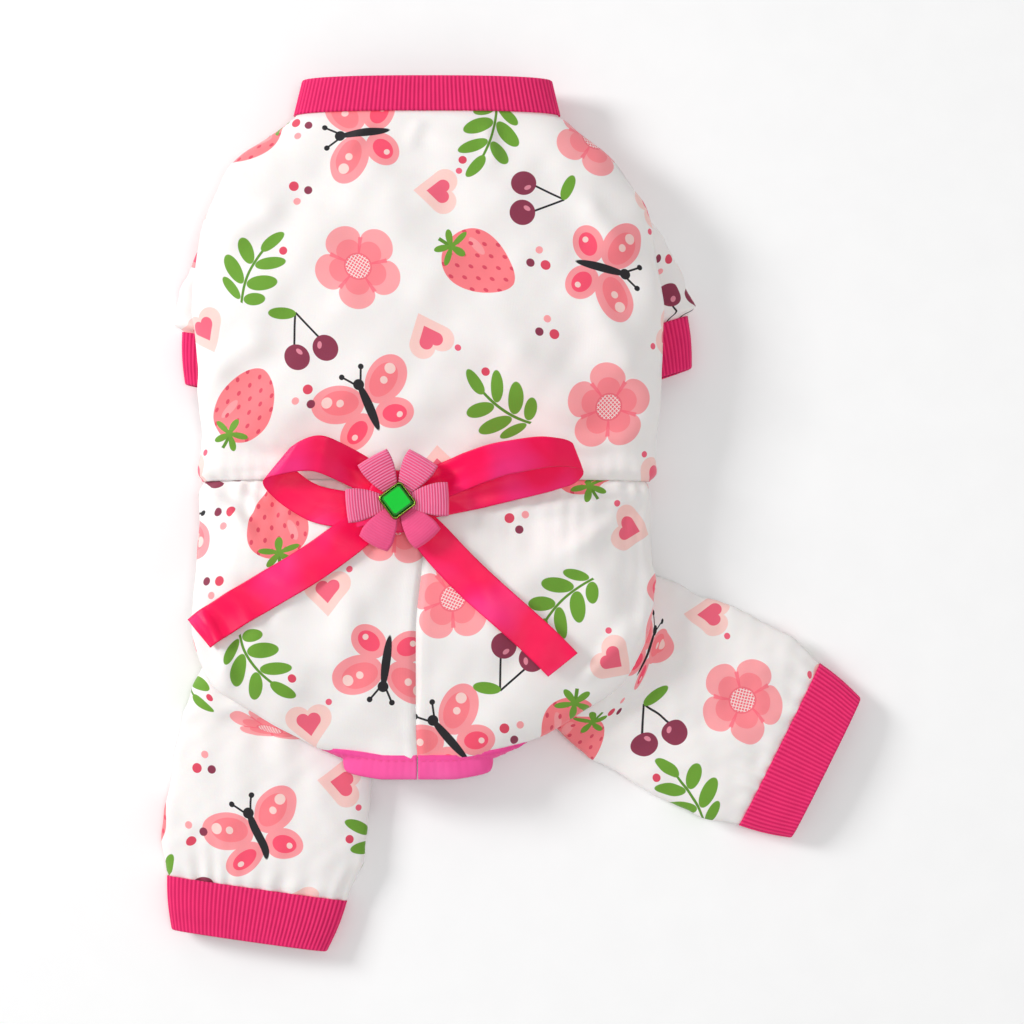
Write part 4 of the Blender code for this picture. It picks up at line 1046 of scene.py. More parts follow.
def makeBelly(side):
    # one half of the belly from its seam to its free edge in the lap, rows running up from the arched hem
    hand, edge = handOf(side), lapEdge(side)
    v = denser(weave["bellyRows"])[:, None]
    u = np.linspace(0.0, 1.0, weave["bellyColumns"])[None, :]
    topY = body["bodiceLength"] + weave["underRib"]
    y = v * body["bodiceLength"] + 0 * u
    for _ in range(3):
        seam = side * (seamAt(y) - weave["gap"] / 2)
        x = seam + u * (edge - seam)
        low = archAt(x[:1])
        y = low + v * (topY - low)
    points = np.dstack([x, y, bellyHeight(x, y, side)])
    relief = ripples(x, y, *weave["bellySwell"], 21 + side) - dip(arcLengths(points, 1), weave["bellyDip"])
    relief = relief * smooth((y - low) / weave["hemCalm"]) - dip(topY - y, weave["ribDip"])
    core = coreLine(points, body["height"])
    points = raised(points, core, False, relief, weave["bellyFloor"])
    uv = clothMap(points, 0, weave["printAt"]["belly"]) * [float(side), 1.0]
    thing = cloth(f"belly-{hand}", points, core, knit, uv, body["wall"])
    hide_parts(f"belly_panel_{hand}")
    declare(thing, points)


# legs and cuffs

tube = {
    "bends": 34, "straights": 44, "columns": 144, "narrow": 0.97, "inside": 0.0006, "overlap": 0.0009,
    "underRib": 0.0012, "hemGather": 0.0005, "hemWaves": 21, "hemDip": (0.0013, 0.0019), "calm": 0.006,
    # creases at the elbow: height, distance from the root, slant and width
    "creases": ((0.0009, 0.030, -0.2, 0.004), (-0.0007, 0.041, 0.15, 0.005)),
    "swell": (0.021, 0.00040), "ripple": (0.009, 0.00012), "rootCalm": 0.02, "hemReach": 0.010,
    # where the straight part has widened fully and where it starts to be drawn in, as shares of it
    "widened": 0.6, "tuckFrom": 0.72, "tuckDrop": 0.25, "seatRings": 3.0,
}


def flatTube(halfWidth, low, high, shares):
    # section of a flattened tube, flat below and crowned above, at even shares of the way round it
    turn = np.linspace(0.0, 2 * math.pi, 1441)
    across = halfWidth * np.sign(np.cos(turn)) * np.abs(np.cos(turn)) ** 0.75
    rise = np.sign(np.sin(turn)) * np.abs(np.sin(turn)) ** 0.85
    height = np.maximum(low + 0.5 * (high - low) * (1.0 + np.where(rise < 0, 1.12 * rise, rise)), low)
    length = np.concatenate([[0.0], np.cumsum(np.hypot(np.diff(across), np.diff(height)))])
    at = shares * length[-1]
    return np.interp(at, length, across), np.interp(at, length, height), length[-1]


def makeLimb(name):
    # rings stand round the root on the body's under side, bend over in the elbow into a flattened tube, and
    # run on straight to the hem, where the tube is drawn in and gathered under the cuff
    _, _, _, limbHalf, length, _, _ = limbs[name]
    rootRadius, elbow, limbHeight = limbShape["rootRadius"], limbShape["elbow"], limbShape["height"]
    root, along, across = limbAxes(name)
    shares = np.linspace(0.0, 1.0, tube["columns"], endpoint=False)
    turn = shares * 2 * math.pi
    rings, cores = [], []
    for i, bend in enumerate(np.linspace(0.0, 1.0, tube["bends"])):
        reach, stand = math.sin(bend * math.pi / 2), math.cos(bend * math.pi / 2)
        halfWidth = rootRadius + (tube["narrow"] * limbHalf - rootRadius) * reach
        side, height, _ = flatTube(halfWidth, 0.0, limbHeight, shares)
        roundSide = halfWidth * np.cos(turn)
        side = roundSide + (side - roundSide) * reach
        run = elbow * bend + rootRadius * stand * np.sin(turn)
        plan = root + run[:, None] * along + side[:, None] * across
        wall = underAt(plan[:, 0], plan[:, 1]) - tube["inside"]
        wall = wall + (tube["overlap"] + tube["inside"]) * smooth(1.0 - i / tube["seatRings"])
        rings.append(np.column_stack([plan, wall * (1.0 - reach) + height * reach]))
        cores.append([*(root + along * elbow * bend), limbHeight / 2])
    straight = length + tube["underRib"] - elbow
    for share in np.linspace(0.0, 1.0, tube["straights"] + 1)[1:]:
        tuck = limbShape["tuck"] * float(smooth((share - tube["tuckFrom"]) / (1.0 - tube["tuckFrom"])))
        widening = (1.0 - tube["narrow"]) * float(smooth(share / tube["widened"]))
        halfWidth = limbHalf * (tube["narrow"] + widening) - tuck
        side, height, _ = flatTube(halfWidth, 0.0, limbHeight - tube["tuckDrop"] * tuck, shares)
        run = elbow + straight * share
        rings.append(np.column_stack([root + run * along + side[:, None] * across, height]))
        cores.append([*(root + along * run), limbHeight / 2])
    points, core = np.array(rings), np.array(cores)
    seed = len(name) + int(limbHalf * 1e4)
    points = raised(points, core, True, limbRelief(points, name, turn, seed), 0.0)
    around, down = arcLengths(points, 1), arcLengths(points, 0).mean(axis=1)
    uv = np.dstack([around + 0.11 * seed, 0 * around + down[:, None]])
    uv[..., 0] -= uv[..., :1, 0] - uv[-1, 0, 0]
    thing = cloth(name.replace("_", "-"), points, core, knit, uv, body["wall"], closed=True)
    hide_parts(name)
    declare(thing, points, closed=True)


def limbRelief(points, name, turn, seed):
    # swells and two creases past the elbow, gathers towards the hem, and a dip under the cuff's edge
    root, along, across = limbAxes(name)
    away, flank = (points[..., :2] - root) @ along, (points[..., :2] - root) @ across
    toHem = np.maximum(limbs[name][4] + tube["underRib"] - away, 0)
    relief = ripples(away, flank, *tube["swell"], seed) + ripples(away, flank, *tube["ripple"], seed + 1)
    creases = sum(high * bell(away - at - slant * flank, width) for high, at, slant, width in tube["creases"])
    gathers = np.sin(turn * tube["hemWaves"] + 2 * np.sin(turn * 3)) * (1 + 0.5 * np.sin(turn * 5 + seed))
    relief = relief * smooth(away / tube["rootCalm"]) + creases * smooth(points[..., 2] / tube["calm"])
    gathers = tube["hemGather"] * gathers * np.exp(-toHem / tube["hemReach"])
    relief = relief * smooth(toHem / tube["calm"]) + gathers - dip(toHem, tube["hemDip"])
    return relief * smooth(away / tube["rootCalm"] + 0.5)


ribBand = {
    "pitch": 0.00175, "depth": 0.00042, "stepsPerRib": 4, "wall": 0.0016, "taper": 0.005, "length": 0.0205,
    "mouthHeight": 0.0118, "bulge": 0.0006, "gap": 0.0003,
}


def doubledBand(profile, ringAt, ribs):
    # profile holds (distance along, way in from the outer face, ribbing strength) down the outer face, round
    # the folded mouth and back up inside; ringAt gives the outer ring and its inward directions at a distance
    shares = np.linspace(0.0, 1.0, ribs * ribBand["stepsPerRib"], endpoint=False)
    wave = np.cos(shares * 2 * math.pi * ribs)
    rings = []
    for distance, inset, strength in profile:
        ring, inward = ringAt(distance, shares)
        rings.append(ring + inward * (inset - ribBand["depth"] * strength * (wave - 1.0) * 0.5)[:, None])
    return np.array(rings), shares


def bandProfile(length, wall, steps=17):
    # the ribbing is full on the outer face, softer at its two ends and turned round inside
    out = np.linspace(0.0, 1.0, steps)
    strength = 1.0 - 0.5 * smooth((out - 0.85) / 0.15) - 0.4 * smooth((0.06 - out) / 0.06)
    rows = [(length * t, 0.0, s) for t, s in zip(out, strength)]
    turns = np.linspace(0.0, math.pi, 7)[1:-1]
    rows += [(length + 0.5 * wall * math.sin(a), 0.5 * wall * (1 - math.cos(a)), 0.4) for a in turns]
    rows += [(length * t, wall, -0.5) for t in out[::-1]]
    return rows


def makeBand(profile, ringAt, ribs, replaced, label, closedRound=True):
    # the profile carried round the ring as one closed skin, pink rib outside and, inside, the same rib
    # painted darker as shade
    points, shares = doubledBand(profile, ringAt, ribs)
    rows, columns = points.shape[:2]
    faces = torusFaces(rows, columns, closedRound)
    first = points[2, 0]
    a, b = points[3, 0] - first, points[2, 1] - first
    if np.dot(np.cross(b, a), first - points[2].mean(axis=0)) < 0:
        faces = faces[:, ::-1]
    half, width = len(profile) // 2, ribs * ribBand["pitch"]
    along = np.array([row[0] for row in profile])
    along[half:] = 2 * along.max() - along[half:]
    uv = np.dstack(np.broadcast_arrays(shares[None, :] * width, along[:, None])).reshape(-1, 2)
    thing = meshObject(label, points.reshape(-1, 3), faces, [materials["rib"], materials["ribShadedInside"]], uv)
    # faces of the inside take the darker copy of the rib knit, painted shade
    inside = (np.minimum(faces // columns, rows).min(axis=1) >= half + 2).astype(np.int32)
    thing.data.polygons.foreach_set("material_index", inside)
    fixWrap(thing.data, columns, width)
    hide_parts(replaced)
    return thing


def torusFaces(rows, columns, closedRound):
    # a grid closed down its rows, and closed round as well unless it is slit
    down = np.arange(rows)[:, None]
    side = np.arange(columns if closedRound else columns - 1)[None, :]
    here, under, after = down * columns, (down + 1) % rows * columns, (side + 1) % columns
    return np.stack([here + side, here + after, under + after, under + side], axis=-1).reshape(-1, 4)


def makeCuff(name, replaced):
    # rings of the leg's own section that narrow a little to the mouth
    _, _, _, limbHalf, length, _, _ = limbs[name]
    root, along, across = limbAxes(name)
    startWidth = limbHalf - limbShape["tuck"]
    hemHeight = limbShape["height"] - tube["tuckDrop"] * limbShape["tuck"]

    def ringAt(distance, shares):    # its inward directions stand square to the section's outline
        t = distance / ribBand["length"]
        halfWidth = startWidth - ribBand["taper"] * t + ribBand["bulge"] * math.sin(t * math.pi)
        high = hemHeight + (ribBand["mouthHeight"] - limbShape["height"]) * t
        side, height, _ = flatTube(halfWidth, 0.0, high, shares)
        sideNext, heightNext, _ = flatTube(halfWidth, 0.0, high, shares + 1e-3)
        step = unit(np.column_stack([sideNext - side, heightNext - height]))
        plan = root + (length + ribBand["gap"] + distance) * along + side[:, None] * across
        inward = np.column_stack([-step[:, 1][:, None] * across, step[:, 0]])
        return np.column_stack([plan, height]), inward

    _, _, girth = flatTube(startWidth, 0.0, hemHeight, np.array([0.0]))
    makeBand(bandProfile(ribBand["length"], ribBand["wall"]), ringAt, int(girth / ribBand["pitch"]), replaced,
             replaced.replace("_", "-"))


neck = {"length": 0.014, "slit": 0.0009, "shrink": 0.06, "gap": 0.0009, "steps": 12}


def makeNeckband():
    # the body's last section, round from one side of the lap's edge to the other, smaller at the mouth
    bodyEnd = body["bodiceLength"]
    start = float(underTurn(lapEdge(1) + weave["gap"], bodyEnd, 1))
    slit = neck["slit"] / float(section(bodyEnd)[0]) / 2
    w = np.linspace(start + slit, start + 4 - slit, 1200)
    ring = skin(w, np.full(len(w), bodyEnd))
    middle = ring.mean(axis=0)
    length = pathLengths(ring)

    def ringAt(distance, shares):    # the section moved on and shrunk, with directions square to it
        shrink = 1.0 - neck["shrink"] * distance / neck["length"]
        points = middle + (onLine(shares / shares[-1] * length[-1], length, ring) - middle) * shrink
        points[:, 1] = bodyEnd + neck["gap"] + distance
        along = np.gradient(points, axis=0)
        along[:, 1] = 0.0
        along = unit(along)
        inward = np.column_stack([along[:, 2], 0 * along[:, 0], -along[:, 0]])
        return points, (-inward if np.einsum("ij,ij->", inward, middle - points) < 0 else inward)

    ribs = int(length[-1] / ribBand["pitch"])
    profile = bandProfile(neck["length"], ribBand["wall"], neck["steps"])
    thing = makeBand(profile, ringAt, ribs, "neckband", "neck-rib-band",
                     closedRound=False)
    closeEnds(thing.data)


def closeEnds(mesh):                 # a cap over each open end of a band that is slit
    made = bmesh.new()
    made.from_mesh(mesh)
    edges = [edge for edge in made.edges if edge.is_boundary]
    bmesh.ops.holes_fill(made, edges=edges, sides=0)
    bmesh.ops.triangulate(made, faces=[face for face in made.faces if len(face.verts) > 4])
    made.to_mesh(mesh)
    made.free()


# bias tape, stitches and snaps

tapeShape = {
    "lap": 0.0012, "flatWidth": 0.0105, "rows": 330, "swell": 0.00045, "tip": 0.0004, "mapMiddle": 0.009,
    # steps over the cloth from its edge, and the tape's half thickness before and after each of them
    "steps": (0.0006, 0.0010, 0.0014, 0.0016, 0.0016, 0.0012, 0.0007),
    "halves": np.array([0.62, 1.0, 0.94, 1.05, 1.0, 0.92, 0.72, 0.40]),
    "pucker": 0.06, "wrinkle": 0.09, "wrinkleSize": 0.011,
    "stitchPitch": 0.0030, "stitchLength": 0.0021, "thread": 0.00017,
}


def tapeSkin(w, y, side):            # the body's skin, with the belly's own height in the lap
    point = skin(w, y)
    if side < 0:
        front = ((w < 0) | (w > 2)) & (y > 0)
        point[..., 2] = np.where(front, bellyHeight(point[..., 0], y, side), point[..., 2])
    return point


def tapeTangents(w, y, side):        # how the skin's point moves with w and with y
    step = 1e-4
    byW = (tapeSkin(w + step, y, side) - tapeSkin(w - step, y, side)) / (2 * step)
    byY = (tapeSkin(w, y + step, side) - tapeSkin(w, y - step, side)) / (2 * step)
    return byW, byY


def tapeUp(w, y, side):              # the skin's normal
    return unit(np.cross(*tapeTangents(w, y, side)[::-1]))


def walk(w, y, heading, distance, side):
    # small even steps over the skin, each in the direction of the skin nearest to the last one's
    steps = max(1, round(abs(distance) / 0.0006))
    for _ in range(steps):
        byW, byY = tapeTangents(w, y, side)
        aa, ay, yy = (np.einsum("ij,ij->i", a, b) for a, b in ((byW, byW), (byW, byY), (byY, byY)))
        alongW, alongY = np.einsum("ij,ij->i", byW, heading), np.einsum("ij,ij->i", byY, heading)
        scale = aa * yy - ay**2
        rateW, rateY = (alongW * yy - alongY * ay) / scale, (alongY * aa - alongW * ay) / scale
        moved = byW * rateW[:, None] + byY * rateY[:, None]
        length = np.linalg.norm(moved, axis=1)
        heading = moved / length[:, None]
        w, y = w + rateW / length * distance / steps, y + rateY / length * distance / steps
    return w, y, heading


def openingPath(side, count):
    # round half of the opening: belly hem, the back's short hem under the belly, seat edge, tail end
    seam, end = side * body["seamWaist"], side * archEnd()
    x = np.concatenate([np.linspace(lapEdge(side), seam, 80), np.linspace(seam, end, 30)[1:]])
    firstY = archAt(x)
    firstW = underTurn(x, firstY, side)
    backY = np.linspace(0.0, -body["seatLength"], 240)[1:]
    backW = openingTurn(backY)
    backW = backW if side > 0 else 2.0 - backW
    tail = np.linspace(backW[-1], 1.0 - side * 0.004, 16)[1:]
    w = np.concatenate([firstW, backW, tail])
    y = np.concatenate([firstY, backY, np.full(len(tail), -body["seatLength"])])
    length = pathLengths(skin(w, y))
    even = np.linspace(0.0, length[-1], count)
    return np.interp(even, length, w), np.interp(even, length, y), even


def makeTape(side):
    # a closed section is carried along the edge: its outer line, the tip and its inner line, each half a
    # thickness off the middle of the cloth at every step over it; the stitches run between two of its lines
    hand, wall, pitch = handOf(side), body["wall"], tapeShape["stitchPitch"]
    w, y, along = openingPath(side, tapeShape["rows"])
    run = unit(evened(unit(np.gradient(tapeSkin(w, y, side), axis=0)), 3))
    heading = unit(-side * np.cross(run, tapeUp(w, y, side)))
    backW, backY, _ = walk(w, y, heading, -tapeShape["lap"], side)
    places = [(tapeSkin(backW, backY, side), tapeUp(backW, backY, side))]
    for distance in tapeShape["steps"]:
        w, y, heading = walk(w, y, heading, distance, side)
        places.append((tapeSkin(w, y, side), tapeUp(w, y, side)))
    wrinkle = 1.0 + tapeShape["pucker"] * np.sin(along * 2 * math.pi / pitch)
    swells = ripples(along, 0 * along, tapeShape["wrinkleSize"], 1.0, 44 + side)
    wrinkle = wrinkle + tapeShape["wrinkle"] * swells
    halves = tapeShape["halves"] * (wall / 2 + tapeShape["swell"])
    outer = [at + up * (half * wrinkle - wall / 2)[:, None] for (at, up), half in zip(places, halves)]
    inner = [at - up * (half * wrinkle + wall / 2)[:, None] for (at, up), half in zip(places, halves)]
    tip = places[-1][0] + heading * tapeShape["tip"] - places[-1][1] * wall / 2
    rings = np.stack(outer + [tip] + inner[::-1], axis=1)
    rings[..., 2] = np.maximum(rings[..., 2], 0.0003)
    rows, columns = rings.shape[:2]
    a, b = rings[1, 2] - rings[0, 2], rings[0, 3] - rings[0, 2]
    flip = bool(np.dot(np.cross(b, a), rings[0, 2] - rings[0].mean(axis=0)) < 0)
    faces = gridFaces(rows, columns, True, flip).tolist() + capFaces(rows, columns, flip)
    around = arcLengths(rings, 1) - tapeShape["mapMiddle"]
    uv = np.dstack(np.broadcast_arrays(along[:, None], around)).reshape(-1, 2)
    thing = meshObject(f"tape-{hand}", rings.reshape(-1, 3), faces, [materials["tape"]], uv)
    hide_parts(f"binding_{hand}")
    print(f"{thing.name}: flat {tapeShape['flatWidth'] * 1000} x {along[-1] * 1000:.0f} mm, folded double")
    middle = (np.arange(int(along[-1] / pitch)) + 0.5) * pitch
    seamLine = 0.55 * rings[:, 1] + 0.45 * rings[:, 2]
    half = tapeShape["stitchLength"] / 2
    starts, ends = (onLine(middle + step, along, seamLine) for step in (-half, half))
    makeStitchLine(f"{thing.name}-stitches", starts, ends, tapeShape["thread"], materials["pinkThread"])


def makeStitchLine(name, starts, ends, radius, material):
    # one short rounded thread for each stitch: a six-sided tube of four rings, thinner at its two ends
    sides = 6
    along = unit(ends - starts)
    up = unit(np.cross(along, np.cross(np.array([0.0, 0.0, 1.0]), along) + 1e-9))
    across = unit(np.cross(along, up))
    turn = np.linspace(0, 2 * math.pi, sides, endpoint=False)[None, None, :, None]
    levels = np.array([(0.0, 0.35), (0.12, 0.95), (0.88, 0.95), (1.0, 0.35)])
    spine = starts[:, None, :] + (ends - starts)[:, None, :] * levels[None, :, :1]
    ring = across[:, None, None, :] * np.cos(turn) + up[:, None, None, :] * np.sin(turn)
    points = spine[:, :, None, :] + ring * (radius * levels[None, :, 1, None, None])
    base = (np.arange(len(starts)) * 4 * sides)[:, None, None]
    faces = []
    for one in (gridFaces(4, sides, True, False), np.array(capFaces(4, sides))):
        faces += (one[None] + base).reshape(-1, one.shape[1]).tolist()
    vertices = points.reshape(-1, 3)
    vertices[:, 2] = np.maximum(vertices[:, 2], 0.0002)
    meshObject(name, vertices, faces, [material])


placket = {
    "inset": 0.0016, "pitch": 0.0030, "stitch": 0.0022, "thread": 0.00015, "from": 0.010, "end": 0.002,
    "sink": 0.00004,
}


def makePlacketStitches():
    # two lines of short stitches on the outer belly panel, just inside both sides of the lap
    starts, ends = [], []
    top = body["bodiceLength"] - placket["end"]
    for x in (lapEdge(1) + placket["inset"], lapEdge(-1) - placket["inset"]):
        y = np.arange(float(archAt(x)) + placket["from"], top, placket["pitch"])
        for found, at in ((starts, y), (ends, y + placket["stitch"])):
            z = underAt(x, at) - ripples(x + 0 * at, at, *weave["bellySwell"], 22) - placket["sink"]
            found.append(np.column_stack([x + 0 * at, at, z]))
    makeStitchLine("placket-stitches", np.vstack(starts), np.vstack(ends), placket["thread"],
                   materials["whiteThread"])


def turned(name, centre, sizes, sides, material):
    # a turned piece from (radius, height) rows, closed at both poles by a small ring
    turn = np.linspace(0, 2 * math.pi, sides, endpoint=False)
    circle = np.column_stack([np.cos(turn), np.sin(turn), 0 * turn])
    rings = np.array([np.array(centre) + radius * circle + [0.0, 0.0, height] for radius, height in sizes])
    faces = gridFaces(len(sizes), sides, True, False).tolist() + capFaces(len(sizes), sides)
    return meshObject(name, rings.reshape(-1, 3), faces, [material])


snap = {
    "shift": -0.0022, "radius": 0.0060, "height": 0.0018, "gap": 0.0003, "sides": 56,
    "stations": (0.93, 0.44, 0.17),
    "rows": ((0.04, 0.20), (0.30, 0.17), (0.52, 0.10), (0.64, 0.03), (0.74, 0.0), (0.86, 0.10), (0.94, 0.26),
             (0.985, 0.45), (1.0, 0.62), (0.99, 0.80), (0.95, 1.0)),
}


def makeSnap(number, station):
    # a cap with a shallow dish in its face and a rounded shoulder, facing down on the lap
    y = station * body["bodiceLength"]
    level = float(underAt(snap["shift"], y)) - snap["gap"] - snap["height"]
    sizes = [(r * snap["radius"], h * snap["height"]) for r, h in snap["rows"]]
    thing = turned(f"snap-{number}", (snap["shift"], y, level), sizes, snap["sides"], materials["snap"])
    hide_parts(f"snap_{number}")


# bow, flower and stone

bow = {
    "x": -0.0105, "y": -0.00974, "ribbon": 0.015, "wall": 0.0005, "loopHeight": 0.011,
    "backingRadius": 0.0125, "backingThick": 0.0012,
    "tails": {"left": (-0.08948, -0.06306, -0.13), "right": (0.05444, -0.07549, 0.11)},
    # along, across, height, roll and yaw of the loops' ribbon from the flower out and back
    "left": (165.0, 0.0515, np.array([
        (0.10, 0.20, 0.15, 0, 0), (0.34, 0.50, 0.15, 2, 6), (0.66, 0.66, 0.85, 14, 0),
        (0.88, 0.36, 0.90, 14, -14), (0.99, 0.03, 0.55, 8, -26), (0.90, -0.28, 0.20, 4, -8),
        (0.58, -0.62, 0.12, 0, 8), (0.30, -0.50, 0.0, 0, 4), (0.10, -0.20, 0.0, 0, 0)])),
    "right": (12.5, 0.0745, np.array([
        (0.07, 0.20, 0.15, 0, 0), (0.24, 0.29, 0.15, 2, 4), (0.56, 0.44, 1.05, 30, 0),
        (0.84, 0.34, 1.30, 40, -6), (0.99, 0.04, 0.90, 44, -10), (0.90, -0.16, 0.42, 36, 0),
        (0.58, -0.14, 0.20, 14, 2), (0.26, -0.16, 0.0, 0, 2), (0.07, -0.20, 0.0, 0, 0)])),
    # loops: how much and how far from the flower the ribbon is pinched, and height, reach and count of pleats
    "loopSeat": 0.0015, "loopPinch": (0.30, 0.16), "pleats": (0.0007, 0.22, 2.5), "pleatCalm": 0.04,
    "cup": 0.0006, "loopSwell": (0.012, 0.00016), "clear": 0.0010, "clearFirst": 0.0011,
    # tails: seat and rise over the cloth, cupping, one wave at a share of the length, and a sideways drift
    "tailStart": 0.92, "tailPinch": (0.22, 0.07), "tailSeat": 0.0009, "tailRise": 0.0018, "tailCup": 0.0005,
    "tailWave": (0.0012, 0.22, 0.09), "tailSwell": (0.019, 0.00028), "tailSink": -0.0003,
    "drift": (0.0012, 1.6), "gap": 0.0003, "backingLift": 0.0033,
    # the backing's rings: way in from the rim, and share of the height
    "backing": ((0.35, 0.0), (0.05, 0.0), (0.0, 0.18), (0.0, 0.7), (0.03, 0.92), (0.08, 1.0), (0.6, 1.0),
                (0.97, 1.0)),
}


def clothTop(x, y):                  # height of the cloth under the bow, with the fine folds that stand up
    return overAt(x, y) + np.maximum(fineRelief(x, y, True), 0.0)


def ribbonMap(points):               # metres of ribbon: along it, and across from its middle
    across = arcLengths(points, 1)
    return np.dstack([arcLengths(points, 0), across - across[:, -1:] / 2])


def resampled(points, count):
    # rows set evenly along the path of the middle column
    length = pathLengths(points[:, points.shape[1] // 2])
    even = np.linspace(0.0, length[-1], count)
    return np.stack([onLine(even, length, points[:, j]) for j in range(points.shape[1])], axis=1)


def makeLoop(hand):
    # the ribbon's middle line runs through the table's rows, out over the top and back below; its width
    # turns by roll and yaw, is pinched and pleated near the flower, and stays clear of the cloth
    degrees, length, rows = bow[hand]
    ribbon, flower = bow["ribbon"], np.array([bow["x"], bow["y"]])
    s = np.linspace(0.0, 1.0, 600)
    at = np.linspace(0.0, 1.0, len(rows))
    alongRun, acrossRun, height, roll, yaw = (through(at, rows[:, i], s) for i in range(5))
    roll, yaw = np.radians(roll), np.radians(yaw)
    out = direction(degrees)
    up = np.array([-out[1], out[0]]) * math.copysign(1.0, out[0])
    middle = flower + (alongRun * length)[:, None] * out + (acrossRun * ribbon)[:, None] * up
    width = (np.cos(yaw)[:, None] * up + np.sin(yaw)[:, None] * out) * np.cos(roll)[:, None]
    side = np.linspace(-0.5, 0.5, 25)[None, :] * ribbon
    (pinched, pinchReach), (pleatHeight, pleatReach, pleatCount) = bow["loopPinch"], bow["pleats"]
    pinch = 1.0 - pinched * np.exp(-alongRun / pinchReach)
    plan = middle[:, None, :] + (side * pinch[:, None])[..., None] * width[:, None, :]
    level = overAt(middle[:, 0], middle[:, 1]) + bow["loopSeat"] + 0.5 * ribbon * np.abs(np.sin(roll))
    z = (level + height * bow["loopHeight"])[:, None] + side * np.sin(roll)[:, None]
    pleats = np.exp(-alongRun / pleatReach)[:, None] * np.cos(side / ribbon * 2 * math.pi * pleatCount)
    cup = bow["cup"] * np.sin(s * math.pi)[:, None] * (1 - (2 * side / ribbon) ** 2)
    z = z + cup + pleatHeight * pleats * smooth(np.minimum(s, 1 - s) / bow["pleatCalm"])[:, None]
    z = np.maximum(z, clothTop(plan[..., 0], plan[..., 1]) + bow["clearFirst"])
    points = resampled(np.dstack([plan, z]), 230)
    place = ribbonMap(points)
    waves = ripples(place[..., 0], place[..., 1] * 0.5, *bow["loopSwell"], 5 + len(hand))
    core = np.column_stack([np.broadcast_to(flower + out * 0.6 * length, (len(points), 2)),
                            overAt(points[:, 12, 0], points[:, 12, 1]) + 0.5 * bow["loopHeight"]])
    points = raised(points, core, False, waves)
    points[..., 2] = np.maximum(points[..., 2], clothTop(points[..., 0], points[..., 1]) + bow["clear"])
    thing = cloth(f"bow-loop-{hand}", points, core, [materials["satin"]], ribbonMap(points), bow["wall"])
    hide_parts(f"bow_loop_{hand}")
    declare(thing, points)


def makeTail(hand):
    # a strip that lies on the cloth's folds, bridging the narrow ones, and lifts a little towards its end
    endX, endY, slant = bow["tails"][hand]
    flower = np.array([bow["x"], bow["y"]])
    run = np.array([endX, endY]) - flower
    length = math.hypot(*run)
    run = run / length
    side = np.linspace(-0.5, 0.5, 25)[None, :] * bow["ribbon"]
    share = np.linspace(0.0, 1.0, 170)[:, None]
    start = bow["backingRadius"] * bow["tailStart"]
    pinch = 1.0 - bow["tailPinch"][0] * np.exp(-share / bow["tailPinch"][1])
    along = start + share * (length - start) + share**4 * slant * side
    drift = bow["drift"][0] * np.sin(share * math.pi * bow["drift"][1]) * (1 if hand == "left" else -1)
    plan = flower + along[..., None] * run + (side * pinch + drift)[..., None] * np.array([-run[1], run[0]])
    seat = overAt(plan[..., 0], plan[..., 1]) + fineRelief(plan[..., 0], plan[..., 1], True)
    z = np.maximum(seat, evened(seat, 6)) + bow["tailSeat"] + bow["tailRise"] * smooth((share - 0.5) / 0.5)
    z = z + bow["tailCup"] * (2 * side / bow["ribbon"]) ** 2 * smooth((share - 0.3) / 0.5)
    swells = ripples(along, side * 0.4 + 0 * along, *bow["tailSwell"], 31 + len(hand))
    wave, waveAt, waveWidth = bow["tailWave"]
    z = z + np.maximum(swells, bow["tailSink"]) + wave * bell(share - waveAt, waveWidth)
    points = np.dstack([plan, z])
    core = points.mean(axis=1) - [0.0, 0.0, 0.01]
    satin = [materials["satin"]]
    thing = cloth(f"bow-tail-{hand}", points, core, satin, ribbonMap(points), bow["wall"], offset=1.0)
    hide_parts(f"bow_tail_{hand}")
    declare(thing, points)


def backingRim(count=20):
    # the rim of the flower's backing in plan, and the height of its lower edge above the loops' ribbon
    turn = np.linspace(0.0, 2 * math.pi, count, endpoint=False)
    circle = np.column_stack([np.cos(turn), np.sin(turn)]) * bow["backingRadius"] + [bow["x"], bow["y"]]
    low = overAt(circle[:, 0], circle[:, 1]) + bow["backingLift"]
    return circle, np.maximum(low, low.mean())


def flowerLevel():                   # height on which the petals lie
    return float(backingRim()[1].max()) + bow["backingThick"] + bow["gap"]


def makeBacking():
    # a small stuffed round pad: straight sides rounded over at the top and drawn in below
    sides = 96
    circle, low = backingRim(sides)
    flower = np.array([bow["x"], bow["y"]])
    top = flowerLevel() - bow["gap"]
    rings = np.array([np.column_stack([flower + (circle - flower) * (1.0 - inset), low + (top - low) * share])
                      for inset, share in bow["backing"]])
    faces = gridFaces(len(rings), sides, True, False).tolist() + capFaces(len(rings), sides)
    uv = (rings[..., :2] - flower).reshape(-1, 2)
    thing = meshObject("bow-backing", rings.reshape(-1, 3), faces, [materials["satin"]], uv)
    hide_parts("bow_backing")


petal = {
    "angles": (120.0, 59.0, 2.0, -51.0, -119.0, -174.0), "length": 0.0203, "start": 0.0042, "width": 0.0138,
    "height": 0.0032, "ribPitch": 0.0011, "ribDepth": 0.00018, "wall": 0.0005, "plain": (4, 5),
    "seat": 0.00025, "stagger": 0.00035, "crown": 0.0006, "tilt": 0.00035, "foot": 0.32,
    # narrowing and bend of the far end and depth of the ribs, for a ribbed and for a plain petal
    "kinds": ((0.03, 0.03, 1.0), (0.07, 0.08, 0.12)),
    # radius and height of the ribbon's path, as shares, out over the top and back below
    "reach": (0.45, 0.80, 0.965, 1.0, 0.965, 0.8, 0.45),
    "rise": np.array([0.42, 0.90, 1.05, 0.90, 0.55, 0.20, 0.06, 0.0, 0.0]),
}


